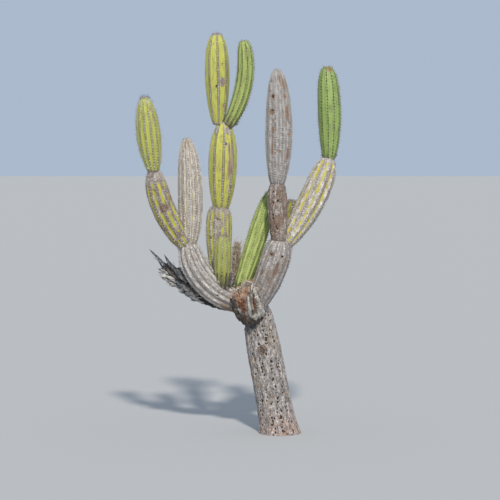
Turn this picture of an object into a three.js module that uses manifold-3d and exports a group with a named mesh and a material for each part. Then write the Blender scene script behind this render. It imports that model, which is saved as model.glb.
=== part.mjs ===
// A candelabra cactus: a leaning trunk, the stub of a broken arm at its crown, and jointed, ribbed
// arms that grow one on another. Millimetres, +Z up. The origin is the middle of the flat cut at
// ground level. +X is to the right and +Y away from someone who faces the plant.
import * as THREE from 'three';
import { mergeVertices } from 'three/addons/utils/BufferGeometryUtils.js';
import Module from 'manifold-3d';

const wasm = await Module();
wasm.setup();

// Driving dimensions

const SEAT_GAP = 0.4; // clearance all round the foot of an arm that sits on another
const RINGS = 13; // rings of facets along an arm
const LINE_STEPS = 60; // straight steps that a bent growth line is summed from
const SMALLEST_FACET = 0.02; // facets left narrower than this by a cut are merged away
const TIP_MARGIN = 0.98; // past this place on its line a limb's radius is too near 0 to divide by
// Waves that a torn rim and the dents of dry limbs are summed from: how many go round the limb,
// their height, the angle they start at, and the angle they turn through along it, in radians.
const RIM_TEETH = [[3, 1, 1, 0], [7, 0.6, 0, 0], [11, 0.4, 2, 0]];
const DENTS = [[2, 1, 0, 9], [3, 0.6, 0, -17]];
// A woody strand's outline: half widths at places along it, as shares of its width and length.
const STRAND_OUTLINE = [[0, 0], [0.32, 0.06], [0.5, 0.3], [0.34, 0.75], [0, 1]];
const STRAND_SIDES = 6;
const STRAND_FLATNESS = 0.45; // thickness of a woody strand against its width
const STRAND_SEAT = 0.24; // distance of its foot from the limb's line, as a share of the girth
const STRAND_STEP = 0.04; // the feet of neighbouring strands lie this far apart along the line
const SHORT_STRAND = 0.7; // every other strand is this much of the full length
const GOLDEN_ANGLE = Math.PI * (3 - Math.sqrt(5)); // spreads strands evenly round a limb

// The trunk's line starts below the ground by the length that the flat cut takes off.
const TRUNK = {
  name: 'trunk', length: 770, buried: 40, lean: [-10, -11], back: [0, 1],
  girth: 176, neck: 188, widest: 0.3, foot: 1, crown: 3.2, ribs: 12, groove: 0.05,
  flare: 14, flareHeight: 45, warp: rootFlare, finish: 'bark',
};

// Each arm grows on another from a place along that one's line (0 foot, 1 tip), moved aside to the
// right and rear where it sits on a shoulder. Its leans to the right and to the back, in degrees
// from upright, turn evenly from the first to the second number. girth and neck are diameters over
// the ribs, widest is how far up the girth is reached, foot and crown say how full the two ends are
// (1 a cone, 2 an ellipse, 4 a blunt end), groove is the furrows' depth as a share of the radius, and
// turn the angle that the ribs are turned by round the line, in degrees.
const ARMS = [
  {
    name: 'left_lower_arm', on: 'trunk', from: 0.905, length: 525, lean: [-87, -5], back: [-15, -9],
    girth: 138, neck: 88, widest: 0.66, foot: 1.5, crown: 2.8,
    ribs: 11, groove: 0.13, finish: 'grey',
  },
  {
    name: 'left_middle_arm', on: 'left_lower_arm', from: 0.93, length: 440, lean: [-41, -6], back: [-12, -11],
    girth: 122, neck: 46, widest: 0.58, foot: 1.9, crown: 2.7,
    ribs: 10, groove: 0.12, turn: 18, finish: 'striped',
  },
  {
    name: 'left_top_arm', on: 'left_middle_arm', from: 0.97, length: 375, lean: [-8, -5], back: [-7, -4],
    girth: 122, neck: 46, widest: 0.47, foot: 1.5, crown: 2.1,
    ribs: 13, groove: 0.1, turn: 8, finish: 'yellow',
  },
  {
    name: 'left_grey_arm', on: 'left_lower_arm', from: 0.95, aside: [6, 0],
    length: 535, lean: [3.4, -6.6], back: [3, 3],
    girth: 126, neck: 46, widest: 0.38, foot: 1.8, crown: 2.4,
    ribs: 13, groove: 0.09, turn: -9, finish: 'grey',
  },
  {
    name: 'right_lower_arm', on: 'trunk', from: 0.905, length: 360, lean: [29, 13], back: [-10, -4],
    girth: 146, neck: 88, widest: 0.62, foot: 1.7, crown: 3.0,
    ribs: 12, groove: 0.08, finish: 'grey',
  },
  {
    name: 'right_middle_arm', on: 'right_lower_arm', from: 0.96, aside: [-5, 0],
    length: 300, lean: [-4, -1], back: [-5, -2],
    girth: 99, neck: 60, widest: 0.5, foot: 2.2, crown: 4.0,
    ribs: 10, groove: 0.07, finish: 'brown',
  },
  {
    name: 'right_top_arm', on: 'right_middle_arm', from: 0.95, length: 575, lean: [3.5, -3.7], back: [-2, -1],
    girth: 138, neck: 60, widest: 0.4, foot: 1.6, crown: 2.3,
    ribs: 11, groove: 0.08, turn: -8, finish: 'grey',
  },
  {
    name: 'right_outer_arm', on: 'right_lower_arm', from: 0.9, aside: [17, 0],
    length: 525, lean: [38.5, 17.5], back: [15, 18],
    girth: 140, neck: 48, widest: 0.58, foot: 1.6, crown: 2.8,
    ribs: 10, groove: 0.13, finish: 'striped',
  },
  {
    name: 'right_tip_arm', on: 'right_outer_arm', from: 0.97, aside: [5, 0],
    length: 480, lean: [2.6, -5.2], back: [6, 2],
    girth: 118, neck: 42, widest: 0.5, foot: 1.65, crown: 2.7,
    ribs: 11, groove: 0.12, turn: -2, finish: 'green',
  },
  {
    name: 'centre_lower_arm', on: 'left_lower_arm', from: 0.35, length: 461, lean: [-6, 2.2], back: [33, -3],
    girth: 134, neck: 48, widest: 0.68, foot: 1.3, crown: 4.4,
    ribs: 15, groove: 0.09, turn: 11, finish: 'striped',
  },
  {
    name: 'centre_middle_arm', on: 'centre_lower_arm', from: 0.95, aside: [8, 0],
    length: 455, lean: [2.6, 1.2], back: [1, 1],
    girth: 148, neck: 48, widest: 0.52, foot: 1.7, crown: 2.2,
    ribs: 9, groove: 0.1, turn: -6, finish: 'yellow',
  },
  {
    name: 'centre_top_arm', on: 'centre_middle_arm', from: 0.95, aside: [-28, 4],
    length: 465, lean: [-1, -1], back: [0, 0],
    girth: 126, neck: 40, widest: 0.53, foot: 1.6, crown: 2.5,
    ribs: 8, groove: 0.09, turn: 5, finish: 'yellow',
  },
  {
    name: 'centre_side_arm', on: 'centre_middle_arm', from: 0.95, aside: [20, -14],
    length: 445, lean: [33, -12], back: [-5, -3],
    girth: 87, neck: 50, widest: 0.5, foot: 1.8, crown: 3.2,
    ribs: 10, groove: 0.14, turn: -5, finish: 'green',
  },
  {
    name: 'young_front_arm', on: 'left_lower_arm', from: 0.36, length: 305, lean: [4, 0], back: [-14, -3],
    girth: 90, neck: 46, widest: 0.62, foot: 1.8, crown: 2.5,
    ribs: 12, groove: 0.1, turn: -2, finish: 'green',
  },
  {
    name: 'slanting_green_arm', on: 'left_lower_arm', from: 0.19, aside: [0, 25],
    length: 600, lean: [20, 16], back: [20, 9],
    girth: 104, neck: 52, widest: 0.6, foot: 1.5, crown: 2.2,
    ribs: 11, groove: 0.15, turn: -2, finish: 'green',
  },
  {
    name: 'back_lower_arm', on: 'trunk', from: 0.934, aside: [0, 20],
    length: 385, lean: [26, 27], back: [42, 14],
    girth: 142, neck: 60, widest: 0.66, foot: 1.5, crown: 3.0,
    ribs: 10, groove: 0.14, finish: 'green',
  },
  {
    name: 'back_upper_arm', on: 'back_lower_arm', from: 0.95, length: 225, lean: [20, 6], back: [13, 3],
    girth: 104, neck: 46, widest: 0.55, foot: 1.8, crown: 2.8,
    ribs: 9, groove: 0.12, finish: 'striped',
  },
];

// The stub is an arm that set out towards the viewer and was torn off above its bend: jagged is the
// height of the rim's teeth, and hollow the depth of the dish inside it. The tear runs down both
// sides by fallen, from the place tornFrom on, and leaves a peak in front, at an angle in degrees.
const STUB = {
  name: 'broken_stub', on: 'trunk', from: 0.865, aside: [-32, 0],
  length: 236, lean: [-36, 9], back: [-102, 26],
  girth: 154, neck: 90, widest: 0.7, foot: 2.2, crown: 8, ribs: 10, groove: 0.07, finish: 'torn',
  jagged: 13, hollow: 34, fallen: 66, tornFrom: 0.4, peak: -72, warp: tornTop,
};

// A shrivelled arm, bowed and fallen in between its ribs: sunk is the share of its radius that the
// drying has taken.
const WITHERED = {
  name: 'withered_arm', on: 'trunk', from: 0.934, aside: [-62, 30],
  length: 315, lean: [-18, 8], back: [22, 8],
  girth: 46, neck: 26, widest: 0.4, foot: 1.6, crown: 2.2, ribs: 6, groove: 0.42, finish: 'dry',
  sunk: 0.2, warp: shrivelled,
};

// A dead arm: a dry, fallen-in husk whose woody strands stand out from its side and broken end.
const DEAD = {
  name: 'dead_arm', on: 'trunk', from: 0.886, aside: [0, 20],
  length: 530, lean: [-90, -41], back: [12, -4],
  girth: 96, neck: 56, widest: 0.74, foot: 1.6, crown: 3, ribs: 8, groove: 0.3, finish: 'dry',
  sunk: 0.16, warp: shrivelled,
  strands: [
    { from: 0.9, count: 2, length: 130, width: 13, splay: 10 },
    { from: 0.84, count: 5, length: 85, width: 24, splay: 20 },
    { from: 0.62, count: 4, length: 90, width: 28, splay: 13 },
  ],
};

const FINISHES = {
  bark: { color: 0xb3aaa1, roughness: 0.9, metalness: 0 },
  grey: { color: 0xb0a79c, roughness: 0.85, metalness: 0 },
  brown: { color: 0x8d7f72, roughness: 0.9, metalness: 0 },
  striped: { color: 0xb5b176, roughness: 0.75, metalness: 0 },
  yellow: { color: 0xb9bb4e, roughness: 0.6, metalness: 0 },
  green: { color: 0x94ac55, roughness: 0.55, metalness: 0 },
  torn: { color: 0x8a6750, roughness: 0.95, metalness: 0 },
  dry: { color: 0x8b8379, roughness: 0.95, metalness: 0 },
};

// Growth lines

function growthFrame(lean, back) {
  const a = THREE.MathUtils.degToRad(lean);
  const b = THREE.MathUtils.degToRad(back);
  return {
    along: new THREE.Vector3(Math.sin(a) * Math.cos(b), Math.sin(b), Math.cos(a) * Math.cos(b)),
    right: new THREE.Vector3(Math.cos(a), 0, -Math.sin(a)),
    rear: new THREE.Vector3(-Math.sin(a) * Math.sin(b), Math.cos(b), -Math.cos(a) * Math.sin(b)),
  };
}

class GrowthLine extends THREE.Curve {
  constructor(start, arm) {
    super();
    this.arm = arm;
    this.points = [start.clone()];
    for (let step = 0; step < LINE_STEPS; step++) {
      const ahead = this.frameAt((step + 0.5) / LINE_STEPS).along;
      const next = this.points[step].clone().addScaledVector(ahead, arm.length / LINE_STEPS);
      this.points.push(next);
    }
  }

  frameAt(t) {
    const { lean, back } = this.arm;
    return growthFrame(THREE.MathUtils.lerp(...lean, t), THREE.MathUtils.lerp(...back, t));
  }

  getPoint(t, target = new THREE.Vector3()) {
    const step = THREE.MathUtils.clamp(Math.floor(t * LINE_STEPS), 0, LINE_STEPS - 1);
    return target.lerpVectors(this.points[step], this.points[step + 1], t * LINE_STEPS - step);
  }
}

// Ribbed limbs

// Falls from 1 at the widest place (t 0) to 0 at the end (t 1).
function fullness(t, power) {
  return (1 - t ** power) ** (1 / power);
}

function radiusAt(limb, t) {
  const neck = limb.neck / 2;
  const girth = limb.girth / 2;
  if (t < limb.widest) {
    return neck + (girth - neck) * fullness(1 - t / limb.widest, limb.foot);
  }
  return girth * fullness((t - limb.widest) / (1 - limb.widest), limb.crown);
}

// A limb turned on a lathe, furrowed between its ribs, then bent along its growth line. extra adds
// that much all round. Its warp gives a factor on the radius and a slide along the line.
function ribbedLimb(limb, line, extra) {
  const profile = [new THREE.Vector2(0, 0)];
  for (let ring = 0; ring < RINGS; ring++) {
    const t = (1 - Math.cos((Math.PI * ring) / RINGS)) / 2;
    profile.push(new THREE.Vector2(radiusAt(limb, t), t));
  }
  profile.push(new THREE.Vector2(0, 1));
  const turn = THREE.MathUtils.degToRad(limb.turn ?? 0);
  const geometry = new THREE.LatheGeometry(profile, limb.ribs * 2, turn);
  const position = geometry.getAttribute('position');
  const point = new THREE.Vector3();
  for (let i = 0; i < position.count; i++) {
    const t = position.getY(i);
    const angle = Math.atan2(position.getX(i), position.getZ(i));
    const turned = Math.hypot(position.getX(i), position.getZ(i));
    const furrow = (1 - Math.cos(limb.ribs * (angle - turn))) / 2;
    const share = turned / radiusAt(limb, Math.min(t, TIP_MARGIN));
    const { swell = 1, slide = 0 } = limb.warp?.(limb, t, angle, share) ?? {};
    const radius = turned * swell * (1 - limb.groove * furrow) + (turned > 0 ? extra : 0);
    const { along, right, rear } = line.frameAt(t);
    line.getPoint(t, point);
    point.addScaledVector(right, radius * Math.cos(angle));
    point.addScaledVector(rear, radius * Math.sin(angle));
    point.addScaledVector(along, slide + extra * (2 * t - 1));
    position.setXYZ(i, point.x, point.y, point.z);
  }
  return toSolid(geometry);
}

// Solids and meshes

function toSolid(geometry) {
  geometry.deleteAttribute('normal');
  geometry.deleteAttribute('uv');
  const merged = mergeVertices(geometry);
  const index = Array.from(merged.index.array);
  const corners = [];
  for (let i = 0; i < index.length; i += 3) {
    const [a, b, c] = index.slice(i, i + 3);
    if (a !== b && b !== c && c !== a) corners.push(a, b, c);
  }
  return new wasm.Manifold(new wasm.Mesh({
    numProp: 3,
    vertProperties: merged.getAttribute('position').array,
    triVerts: new Uint32Array(corners),
  }));
}

function toMesh(limb, solid, foot) {
  const { vertProperties, triVerts } = solid.getMesh();
  const geometry = new THREE.BufferGeometry();
  geometry.setAttribute('position', new THREE.BufferAttribute(vertProperties, 3));
  geometry.setIndex(new THREE.BufferAttribute(triVerts, 1));
  geometry.translate(-foot.x, -foot.y, -foot.z);
  geometry.computeVertexNormals();
  const mesh = new THREE.Mesh(geometry, new THREE.MeshStandardMaterial(FINISHES[limb.finish]));
  mesh.name = limb.name;
  return mesh;
}

function largestBody(solid) {
  return solid.decompose().reduce((best, body) => (body.volume() > best.volume() ? body : best));
}

// Special shapes. Each takes the place t along the limb, the angle round it, and share, which is 0
// at the middle of the limb and 1 at its skin.

function waves(terms, angle, t) {
  return terms.reduce(
    (sum, [count, height, start, turn]) => sum + height * Math.sin(count * angle + start + turn * t),
    0,
  );
}

// The trunk spreads a little where it meets the ground.
function rootFlare(limb, t) {
  const height = Math.max(0, t * limb.length - limb.buried);
  return { swell: 1 + (2 * limb.flare / limb.girth) * Math.exp(-height / limb.flareHeight) };
}

// The torn top of the stub: a ragged rim round a hollow, high in front and low at both sides.
function tornTop(limb, t, angle, share) {
  const near = Math.max(0, (t - limb.widest) / (1 - limb.widest));
  const rim = limb.jagged * waves(RIM_TEETH, angle, t) * share;
  const torn = Math.max(0, (t - limb.tornFrom) / (1 - limb.tornFrom));
  const toPeak = Math.cos(2 * (angle - THREE.MathUtils.degToRad(limb.peak)));
  const fall = (limb.fallen * (1 - share * toPeak)) / 2;
  return { slide: near ** 2 * (rim - limb.hollow * (1 - share) ** 2) - torn * fall };
}

// A dry limb sinks in unevenly along its length.
function shrivelled(limb, t, angle) {
  return { swell: 1 - (limb.sunk * (1 + waves(DENTS, angle, t))) / 2 };
}

// A flat woody strand, widest near its foot and pointed at its tip.
function strand(start, ahead, length, width) {
  const points = STRAND_OUTLINE.map(([r, t]) => new THREE.Vector2(r * width, t * length));
  const geometry = new THREE.LatheGeometry(points, STRAND_SIDES);
  geometry.scale(1, 1, STRAND_FLATNESS);
  const turn = new THREE.Quaternion().setFromUnitVectors(new THREE.Vector3(0, 1, 0), ahead);
  geometry.applyQuaternion(turn);
  geometry.translate(start.x, start.y, start.z);
  return toSolid(geometry);
}

function strandsOf(limb, line, { from, count, length, width, splay }) {
  const slope = THREE.MathUtils.degToRad(splay);
  return Array.from({ length: count }, (_, i) => {
    const t = from + STRAND_STEP * (i % 3);
    const round = GOLDEN_ANGLE * i + from;
    const { along, right, rear } = line.frameAt(t);
    const aside = right.multiplyScalar(Math.cos(round)).addScaledVector(rear, Math.sin(round));
    const start = line.getPoint(t).addScaledVector(aside, limb.girth * STRAND_SEAT);
    const ahead = along.multiplyScalar(Math.cos(slope)).addScaledVector(aside, Math.sin(slope));
    return strand(start, ahead, i % 2 ? length * SHORT_STRAND : length, width);
  });
}

// A limb with its strands, cut flat where it would pass below the ground.
function limbSolid(limb, line, extra) {
  const strands = (limb.strands ?? []).flatMap((kind) => strandsOf(limb, line, kind));
  return strands.reduce((a, b) => a.add(b), ribbedLimb(limb, line, extra)).trimByPlane([0, 0, 1], 0);
}

// Assembly

const plant = new THREE.Group();
const grown = {};

function footOf(limb) {
  if (!limb.on) return growthFrame(limb.lean[0], limb.back[0]).along.multiplyScalar(-limb.buried);
  const { line } = grown[limb.on];
  const { right, rear } = line.frameAt(limb.from);
  const [toRight, toRear] = limb.aside ?? [0, 0];
  return line.getPoint(limb.from).addScaledVector(right, toRight).addScaledVector(rear, toRear);
}

// Whatever grew before a limb is cut out of its foot, with the seat's clearance.
function grow(limb) {
  const foot = footOf(limb);
  const line = new GrowthLine(foot, limb);
  let solid = limbSolid(limb, line, 0);
  for (const older of Object.values(grown)) solid = solid.subtract(older.clearance);
  const mesh = toMesh(limb, largestBody(solid).simplify(SMALLEST_FACET), foot);
  const parent = grown[limb.on];
  mesh.position.copy(foot).sub(parent ? parent.foot : new THREE.Vector3());
  (parent ? parent.mesh : plant).add(mesh);
  grown[limb.name] = { foot, line, mesh, clearance: limbSolid(limb, line, SEAT_GAP) };
}

[TRUNK, ...ARMS, STUB, WITHERED, DEAD].forEach(grow);

export default plant;
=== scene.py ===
import math
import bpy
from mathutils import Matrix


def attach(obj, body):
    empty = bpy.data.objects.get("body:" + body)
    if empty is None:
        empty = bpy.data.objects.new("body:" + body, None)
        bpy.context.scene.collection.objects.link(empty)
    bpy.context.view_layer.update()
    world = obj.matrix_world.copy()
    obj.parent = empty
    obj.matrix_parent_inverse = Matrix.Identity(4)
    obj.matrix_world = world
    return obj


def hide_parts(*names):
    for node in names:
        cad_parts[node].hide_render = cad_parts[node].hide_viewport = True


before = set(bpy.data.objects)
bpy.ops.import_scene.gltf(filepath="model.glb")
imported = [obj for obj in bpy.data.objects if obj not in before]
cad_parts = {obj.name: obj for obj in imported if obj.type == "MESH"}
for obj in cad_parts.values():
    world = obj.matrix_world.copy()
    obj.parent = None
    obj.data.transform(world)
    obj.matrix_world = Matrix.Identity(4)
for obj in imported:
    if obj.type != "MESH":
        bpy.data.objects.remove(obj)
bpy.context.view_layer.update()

from types import SimpleNamespace

import bmesh
import bpy
import numpy as np
from mathutils import Vector, noise

# Camera: a long lens at the height of a standing person's eyes, ten metres in front of the plant
# and a little to the left of its foot. It looks slightly down, so the crown rises over the horizon.
EYE_HEIGHT = 1.5075
VIEW_DISTANCE = 10.0
VIEW_LEFT_OF_FOOT = 0.1475
LOOK_DOWN = math.radians(3.348)
LENS = 144.0
SENSOR = 36.0


def placed(name, data):
    """A new object with this data, in the scene."""
    thing = bpy.data.objects.new(name, data)
    bpy.context.scene.collection.objects.link(thing)
    return thing


camera_data = bpy.data.cameras.new("camera")
camera_data.lens = LENS
camera_data.sensor_width = SENSOR
camera = placed("camera", camera_data)
camera.location = (-VIEW_LEFT_OF_FOOT, -VIEW_DISTANCE, EYE_HEIGHT)
camera.rotation_euler = (math.pi / 2 - LOOK_DOWN, 0, 0)
bpy.context.scene.camera = camera

# Studio: a wide pale floor under an even pale sky. One large soft lamp stands for the sun, high up
# in front and a little to the right.
FLOOR_REACH = 60.0
FLOOR_COLOUR = (0.47, 0.47, 0.46, 1)
FLOOR_ROUGHNESS = 0.9
SKY_COLOUR = (0.62, 0.74, 0.92, 1)
SKY_STRENGTH = 0.66
SUN_STRENGTH = 2.9
SUN_COLOUR = (1.0, 0.95, 0.88)
SUN_SPREAD = math.radians(4)
SUN_DIRECTION = (math.radians(48), 0, math.radians(7))

bpy.context.scene.view_settings.view_transform = "Standard"
floor_mesh = bpy.data.meshes.new("floor")
corners = [(x * FLOOR_REACH, y * FLOOR_REACH, 0) for x, y in ((-1, -1), (1, -1), (1, 1), (-1, 1))]
floor_mesh.from_pydata(corners, [], [(0, 1, 2, 3)])
floor = placed("floor", floor_mesh)
floor_finish = bpy.data.materials.new("pale floor")
floor_finish.use_nodes = True
floor_shader = floor_finish.node_tree.nodes["Principled BSDF"].inputs
floor_shader["Base Color"].default_value = FLOOR_COLOUR
floor_shader["Roughness"].default_value = FLOOR_ROUGHNESS
floor_mesh.materials.append(floor_finish)

sky = bpy.data.worlds.new("pale sky")
sky.use_nodes = True
sky.node_tree.nodes["Background"].inputs["Color"].default_value = SKY_COLOUR
sky.node_tree.nodes["Background"].inputs["Strength"].default_value = SKY_STRENGTH
bpy.context.scene.world = sky

sun_data = bpy.data.lights.new("soft sun", "SUN")
sun_data.energy = SUN_STRENGTH
sun_data.color = SUN_COLOUR
sun_data.angle = SUN_SPREAD
placed("soft sun", sun_data).rotation_euler = SUN_DIRECTION

# Trunk: the oldest limb of the cactus, a leaning post of grey cork over a woody core. It grew as a
# ribbed limb and swelled until its ribs were only low folds, then the cork split along them and
# dropped out in small pits. Its roots are hidden, so it ends in a flat cut at the ground.
BARK_EDGE = 0.625
BARK_EDGE_RISE = 0.045
BARK_EDGE_HIGHEST = math.radians(20)
BARK_EDGE_TEETH = 0.016
BARK_EDGE_SLOPE = 0.004
BARK_THICKNESS = 0.006
LINE_STEPS = 60
# What a limb has unless its own sizes say otherwise.
USUAL = dict(
    on=None, at=0, aside=(0, 0), buried=0.0, turn=0, furrow=1.0, felt_groove=0.0, scallop=0.0, fissure=0.0,
    fissure_width=0.02, lump=0.0, lump_width=0.04, flare=0.0, swell_height=1.0, spacing=0.014, stagger=0.37,
)
grown = {}


def directions(limb, t):
    """Unit vectors along a limb, to its right and to its rear, at places t from foot 0 to tip 1."""
    lean = np.radians(np.interp(t, (0, 1), limb.lean))
    back = np.radians(np.interp(t, (0, 1), limb.back))
    along = np.stack([np.sin(lean) * np.cos(back), np.sin(back), np.cos(lean) * np.cos(back)], -1)
    right = np.stack([np.cos(lean), np.zeros_like(lean), -np.sin(lean)], -1)
    return along, right, np.cross(along, right)


def on_line(limb, t):
    """Points at places t up the middle of a limb."""
    return np.stack([np.interp(t * LINE_STEPS, range(LINE_STEPS + 1), axis) for axis in limb.line.T], -1)


def new_limb(name, **sizes):
    """A limb with its growth line, which starts in the limb that it grows on, or under the ground."""
    limb = SimpleNamespace(name=name, **{**USUAL, **sizes})
    if limb.on:
        _, right, rear = directions(grown[limb.on], limb.at)
        start = on_line(grown[limb.on], limb.at) + right * limb.aside[0] + rear * limb.aside[1]
    else:
        start = -directions(limb, 0)[0] * limb.buried
    steps = directions(limb, (np.arange(LINE_STEPS) + 0.5) / LINE_STEPS)[0] * limb.length / LINE_STEPS
    limb.line = np.vstack([start, start + np.cumsum(steps, 0)])
    grown[name] = limb
    return limb


class Value:
    """What a node gives out. A sum with it adds the math node that works the sum out."""

    def __init__(self, w, socket):
        self.w = w
        self.socket = socket

    def beside(self, name):
        """Another output of the same node."""
        return Value(self.w, self.socket.node.outputs[name])


for sign, sum_of in dict(add="ADD", sub="SUBTRACT", mul="MULTIPLY", truediv="DIVIDE", pow="POWER").items():
    setattr(Value, f"__{sign}__", lambda a, b, kind=sum_of: a.w.math(kind, a, b))
    setattr(Value, f"__r{sign}__", lambda a, b, kind=sum_of: a.w.math(kind, b, a))


class Wiring:
    """Adds nodes to a tree by short calls, and gives back the value that the next node reads."""

    def __init__(self, tree):
        self.tree = tree

    def node(self, kind, inputs=(), output=0, **settings):
        node = self.tree.nodes.new(kind)
        for name, value in settings.items():
            setattr(node, name, value)
        for key, value in dict(inputs).items():
            if isinstance(value, Value):
                self.tree.links.new(value.socket, node.inputs[key])
            else:
                node.inputs[key].default_value = value
        return Value(self, node.outputs[output])

    def math(self, operation, a, b=0.0):
        return self.node("ShaderNodeMath", {0: a, 1: b}, operation=operation)

    def vector(self, operation, a, b=(0, 0, 0)):
        return self.node("ShaderNodeVectorMath", {0: a, 1: b}, operation=operation)

    def scaled(self, a, factor):
        return self.node("ShaderNodeVectorMath", {0: a, "Scale": factor}, operation="SCALE")

    def joined(self, x=0.0, y=0.0, z=0.0):
        return self.node("ShaderNodeCombineXYZ", {0: x, 1: y, 2: z})

    def parts(self, vector):
        x = self.node("ShaderNodeSeparateXYZ", {0: vector})
        return x, x.beside("Y"), x.beside("Z")

    def clamped(self, value):
        return self.node("ShaderNodeClamp", {0: value})

    def span(self, value, low, high, to_low=0.0, to_high=1.0):
        """Turns the span from low to high into 0 to 1, or another span, and holds its ends."""
        return self.node("ShaderNodeMapRange", {0: value, 1: low, 2: high, 3: to_low, 4: to_high})

    def noise(self, vector, size, detail=3.0, roughness=0.6):
        """Noise from 0 to 1 with blotches of about that size."""
        return self.node("ShaderNodeTexNoise", {
            "Vector": vector, "Scale": 1.0 / size, "Detail": detail, "Roughness": roughness})

    def carried(self, name, kind="FLOAT_VECTOR"):
        """What the start mesh of a geometry tree carries at each point."""
        return self.node("GeometryNodeInputNamedAttribute", {"Name": name}, data_type=kind)


def new_tree(name, **kinds):
    """The wiring of a new geometry tree, and its inputs by name. Each kind has its names in one string."""
    tree = bpy.data.node_groups.new(name, "GeometryNodeTree")
    for kind, labels in kinds.items():
        for label in labels.split():
            tree.interface.new_socket(label, in_out="INPUT", socket_type="NodeSocket" + kind)
    tree.interface.new_socket("shape", in_out="OUTPUT", socket_type="NodeSocketGeometry")
    w = Wiring(tree)
    sockets = tree.nodes.new("NodeGroupInput").outputs
    return w, SimpleNamespace(**{socket.name: Value(w, socket) for socket in sockets if socket.name})


def end_tree(w, shape, finish):
    """Makes what a tree has set out real, in its finish, and gives back the tree."""
    real = w.node("GeometryNodeRealizeInstances", {"Geometry": shape})
    dressed = w.node("GeometryNodeSetMaterial", {"Geometry": real, "Material": finish})
    w.tree.links.new(dressed.socket, w.tree.nodes.new("NodeGroupOutput").inputs["shape"])
    return w.tree


# The rings go up the limb partly in even steps and partly along a sine, so they close up at its tip.
EVEN_STEPS = 0.15
CLOSING_STEPS = 0.85
# How soon the ribs open from the ends of the limb, and how narrow the felt groove on a crest is.
RIB_OPENING = 1.6
GROOVE_SHARPNESS = 8.0
# Cracks are drawn out along the limb, and lie where their noise is this close to its middle.
CRACK_STRETCH = 0.16
CRACK_REACH = 0.09
CLOSED_END = 0.0005
WELD_DISTANCE = 0.00002


def limb_tree():
    """Geometry nodes that wrap a ribbed skin round a growth line."""
    w, given = new_tree(
        "ribbed limb", Geometry="start", Int="ribs around rings", Material="finish",
        Float="length girth neck widest foot crown groove furrow turn felt_groove scallop spacing stagger "
              "fissure fissure_width lump lump_width swell swell_height buried seed")

    # A flat sheet, one column for each line of points up the limb and one row for each ring. The
    # first row closes the foot, and the rows come closer together towards the tip.
    sheet = w.node("GeometryNodeMeshGrid", {
        "Size X": 1.0, "Size Y": 1.0, "Vertices X": given.around, "Vertices Y": given.rings})
    x, y, _ = w.parts(w.node("GeometryNodeInputPosition"))
    across = x + 0.5
    last = given.rings - 1.0
    row = (y + 0.5) * last
    share = w.math("MAXIMUM", row - 1.0, 0.0) / (last - 1.0)
    t = w.clamped(share * EVEN_STEPS + w.math("SINE", share * (math.pi / 2)) * CLOSING_STEPS)
    metres = t * given.length
    rib = across * given.ribs
    angle = across * math.tau + given.turn
    cosine = w.math("COSINE", angle)
    sine = w.math("SINE", angle)

    # The radius grows from the neck to the girth and falls to nothing at the tip.
    below = w.math("LESS_THAN", t, given.widest)

    def either(if_below, if_above):
        return w.node("GeometryNodeSwitch", {0: below, 1: if_above, 2: if_below}, input_type="FLOAT")

    away = w.clamped(either(1.0 - t / given.widest, (t - given.widest) / (1.0 - given.widest)))
    power = either(given.foot, given.crown)
    full = w.math("MAXIMUM", 1.0 - away ** power, 0.0) ** (1.0 / power)
    neck = either(given.neck, 0.0)
    radius = (neck + (given.girth - neck) * full) / 2.0
    height = w.math("MAXIMUM", metres - given.buried, 0.0)
    radius = radius * (1.0 + given.swell * w.math("EXPONENT", height * -1.0 / given.swell_height))

    # Ribs: a furrow between each two crests, a shallow groove for the felt along each crest, and
    # a row of low scallops with one areole at the top of each.
    crest = (1.0 + w.math("COSINE", rib * math.tau)) / 2.0
    ribbed = radius * (1.0 - given.groove * (1.0 - crest) ** given.furrow)
    number = w.math("MODULO", w.math("ROUND", rib), given.ribs)
    areole = metres / given.spacing + w.math("FRACT", number * given.stagger)
    wave = 1.0 - w.math("COSINE", areole * math.tau)
    open_rib = w.clamped(full * RIB_OPENING)
    ribbed = ribbed - crest ** GROOVE_SHARPNESS * (given.felt_groove + wave * given.scallop) * open_rib

    # Age: cracks that run along the limb, and slow lumps all over it.
    lengthwise = w.joined(radius * cosine, radius * sine, metres * CRACK_STRETCH + given.seed)
    grain = w.math("ABSOLUTE", w.noise(lengthwise, given.fissure_width, 2.0) - 0.5)
    crack = w.span(grain, 0.0, CRACK_REACH, 1.0, 0.0)
    spot = w.joined(radius * cosine, radius * sine, metres + given.seed)
    worn = (w.noise(spot, given.lump_width) - 0.5) * given.lump - crack * given.fissure
    ribbed = w.math("MAXIMUM", ribbed + worn * open_rib, 0.0)
    ribbed = ribbed * w.math("MINIMUM", row, 1.0) * w.span(full, 0.0, CLOSED_END)

    # Each point leaves the line by its radius, to the right and rear of the limb.
    line = w.node("GeometryNodeMeshToCurve", {"Mesh": given.start})
    right, rear = (w.node(
        "GeometryNodeSampleCurve", {"Curves": line, "Value": w.carried(name), "Factor": t},
        data_type="FLOAT_VECTOR", mode="FACTOR", use_all_curves=True) for name in ("right", "rear"))
    out = w.vector("ADD", w.scaled(right, ribbed * cosine), w.scaled(rear, ribbed * sine))
    for name, value, kind, domain in (
            ("skin", w.joined(rib, metres), "FLOAT2", "CORNER"), ("areole", areole, "FLOAT", "POINT"),
            ("crack", crack, "FLOAT", "POINT"), ("share", t, "FLOAT", "POINT")):
        sheet = w.node("GeometryNodeStoreNamedAttribute", {"Geometry": sheet, "Name": name, "Value": value},
                       data_type=kind, domain=domain)
    moved = w.node("GeometryNodeSetPosition", {
        "Geometry": sheet, "Position": w.vector("ADD", right.beside("Position"), out)})
    closed = w.node("GeometryNodeMergeByDistance", {"Geometry": moved, "Distance": WELD_DISTANCE})
    return end_tree(w, w.node("GeometryNodeSetShadeSmooth", {"Geometry": closed}), given.finish)


LIMB_TREE = limb_tree()


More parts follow.
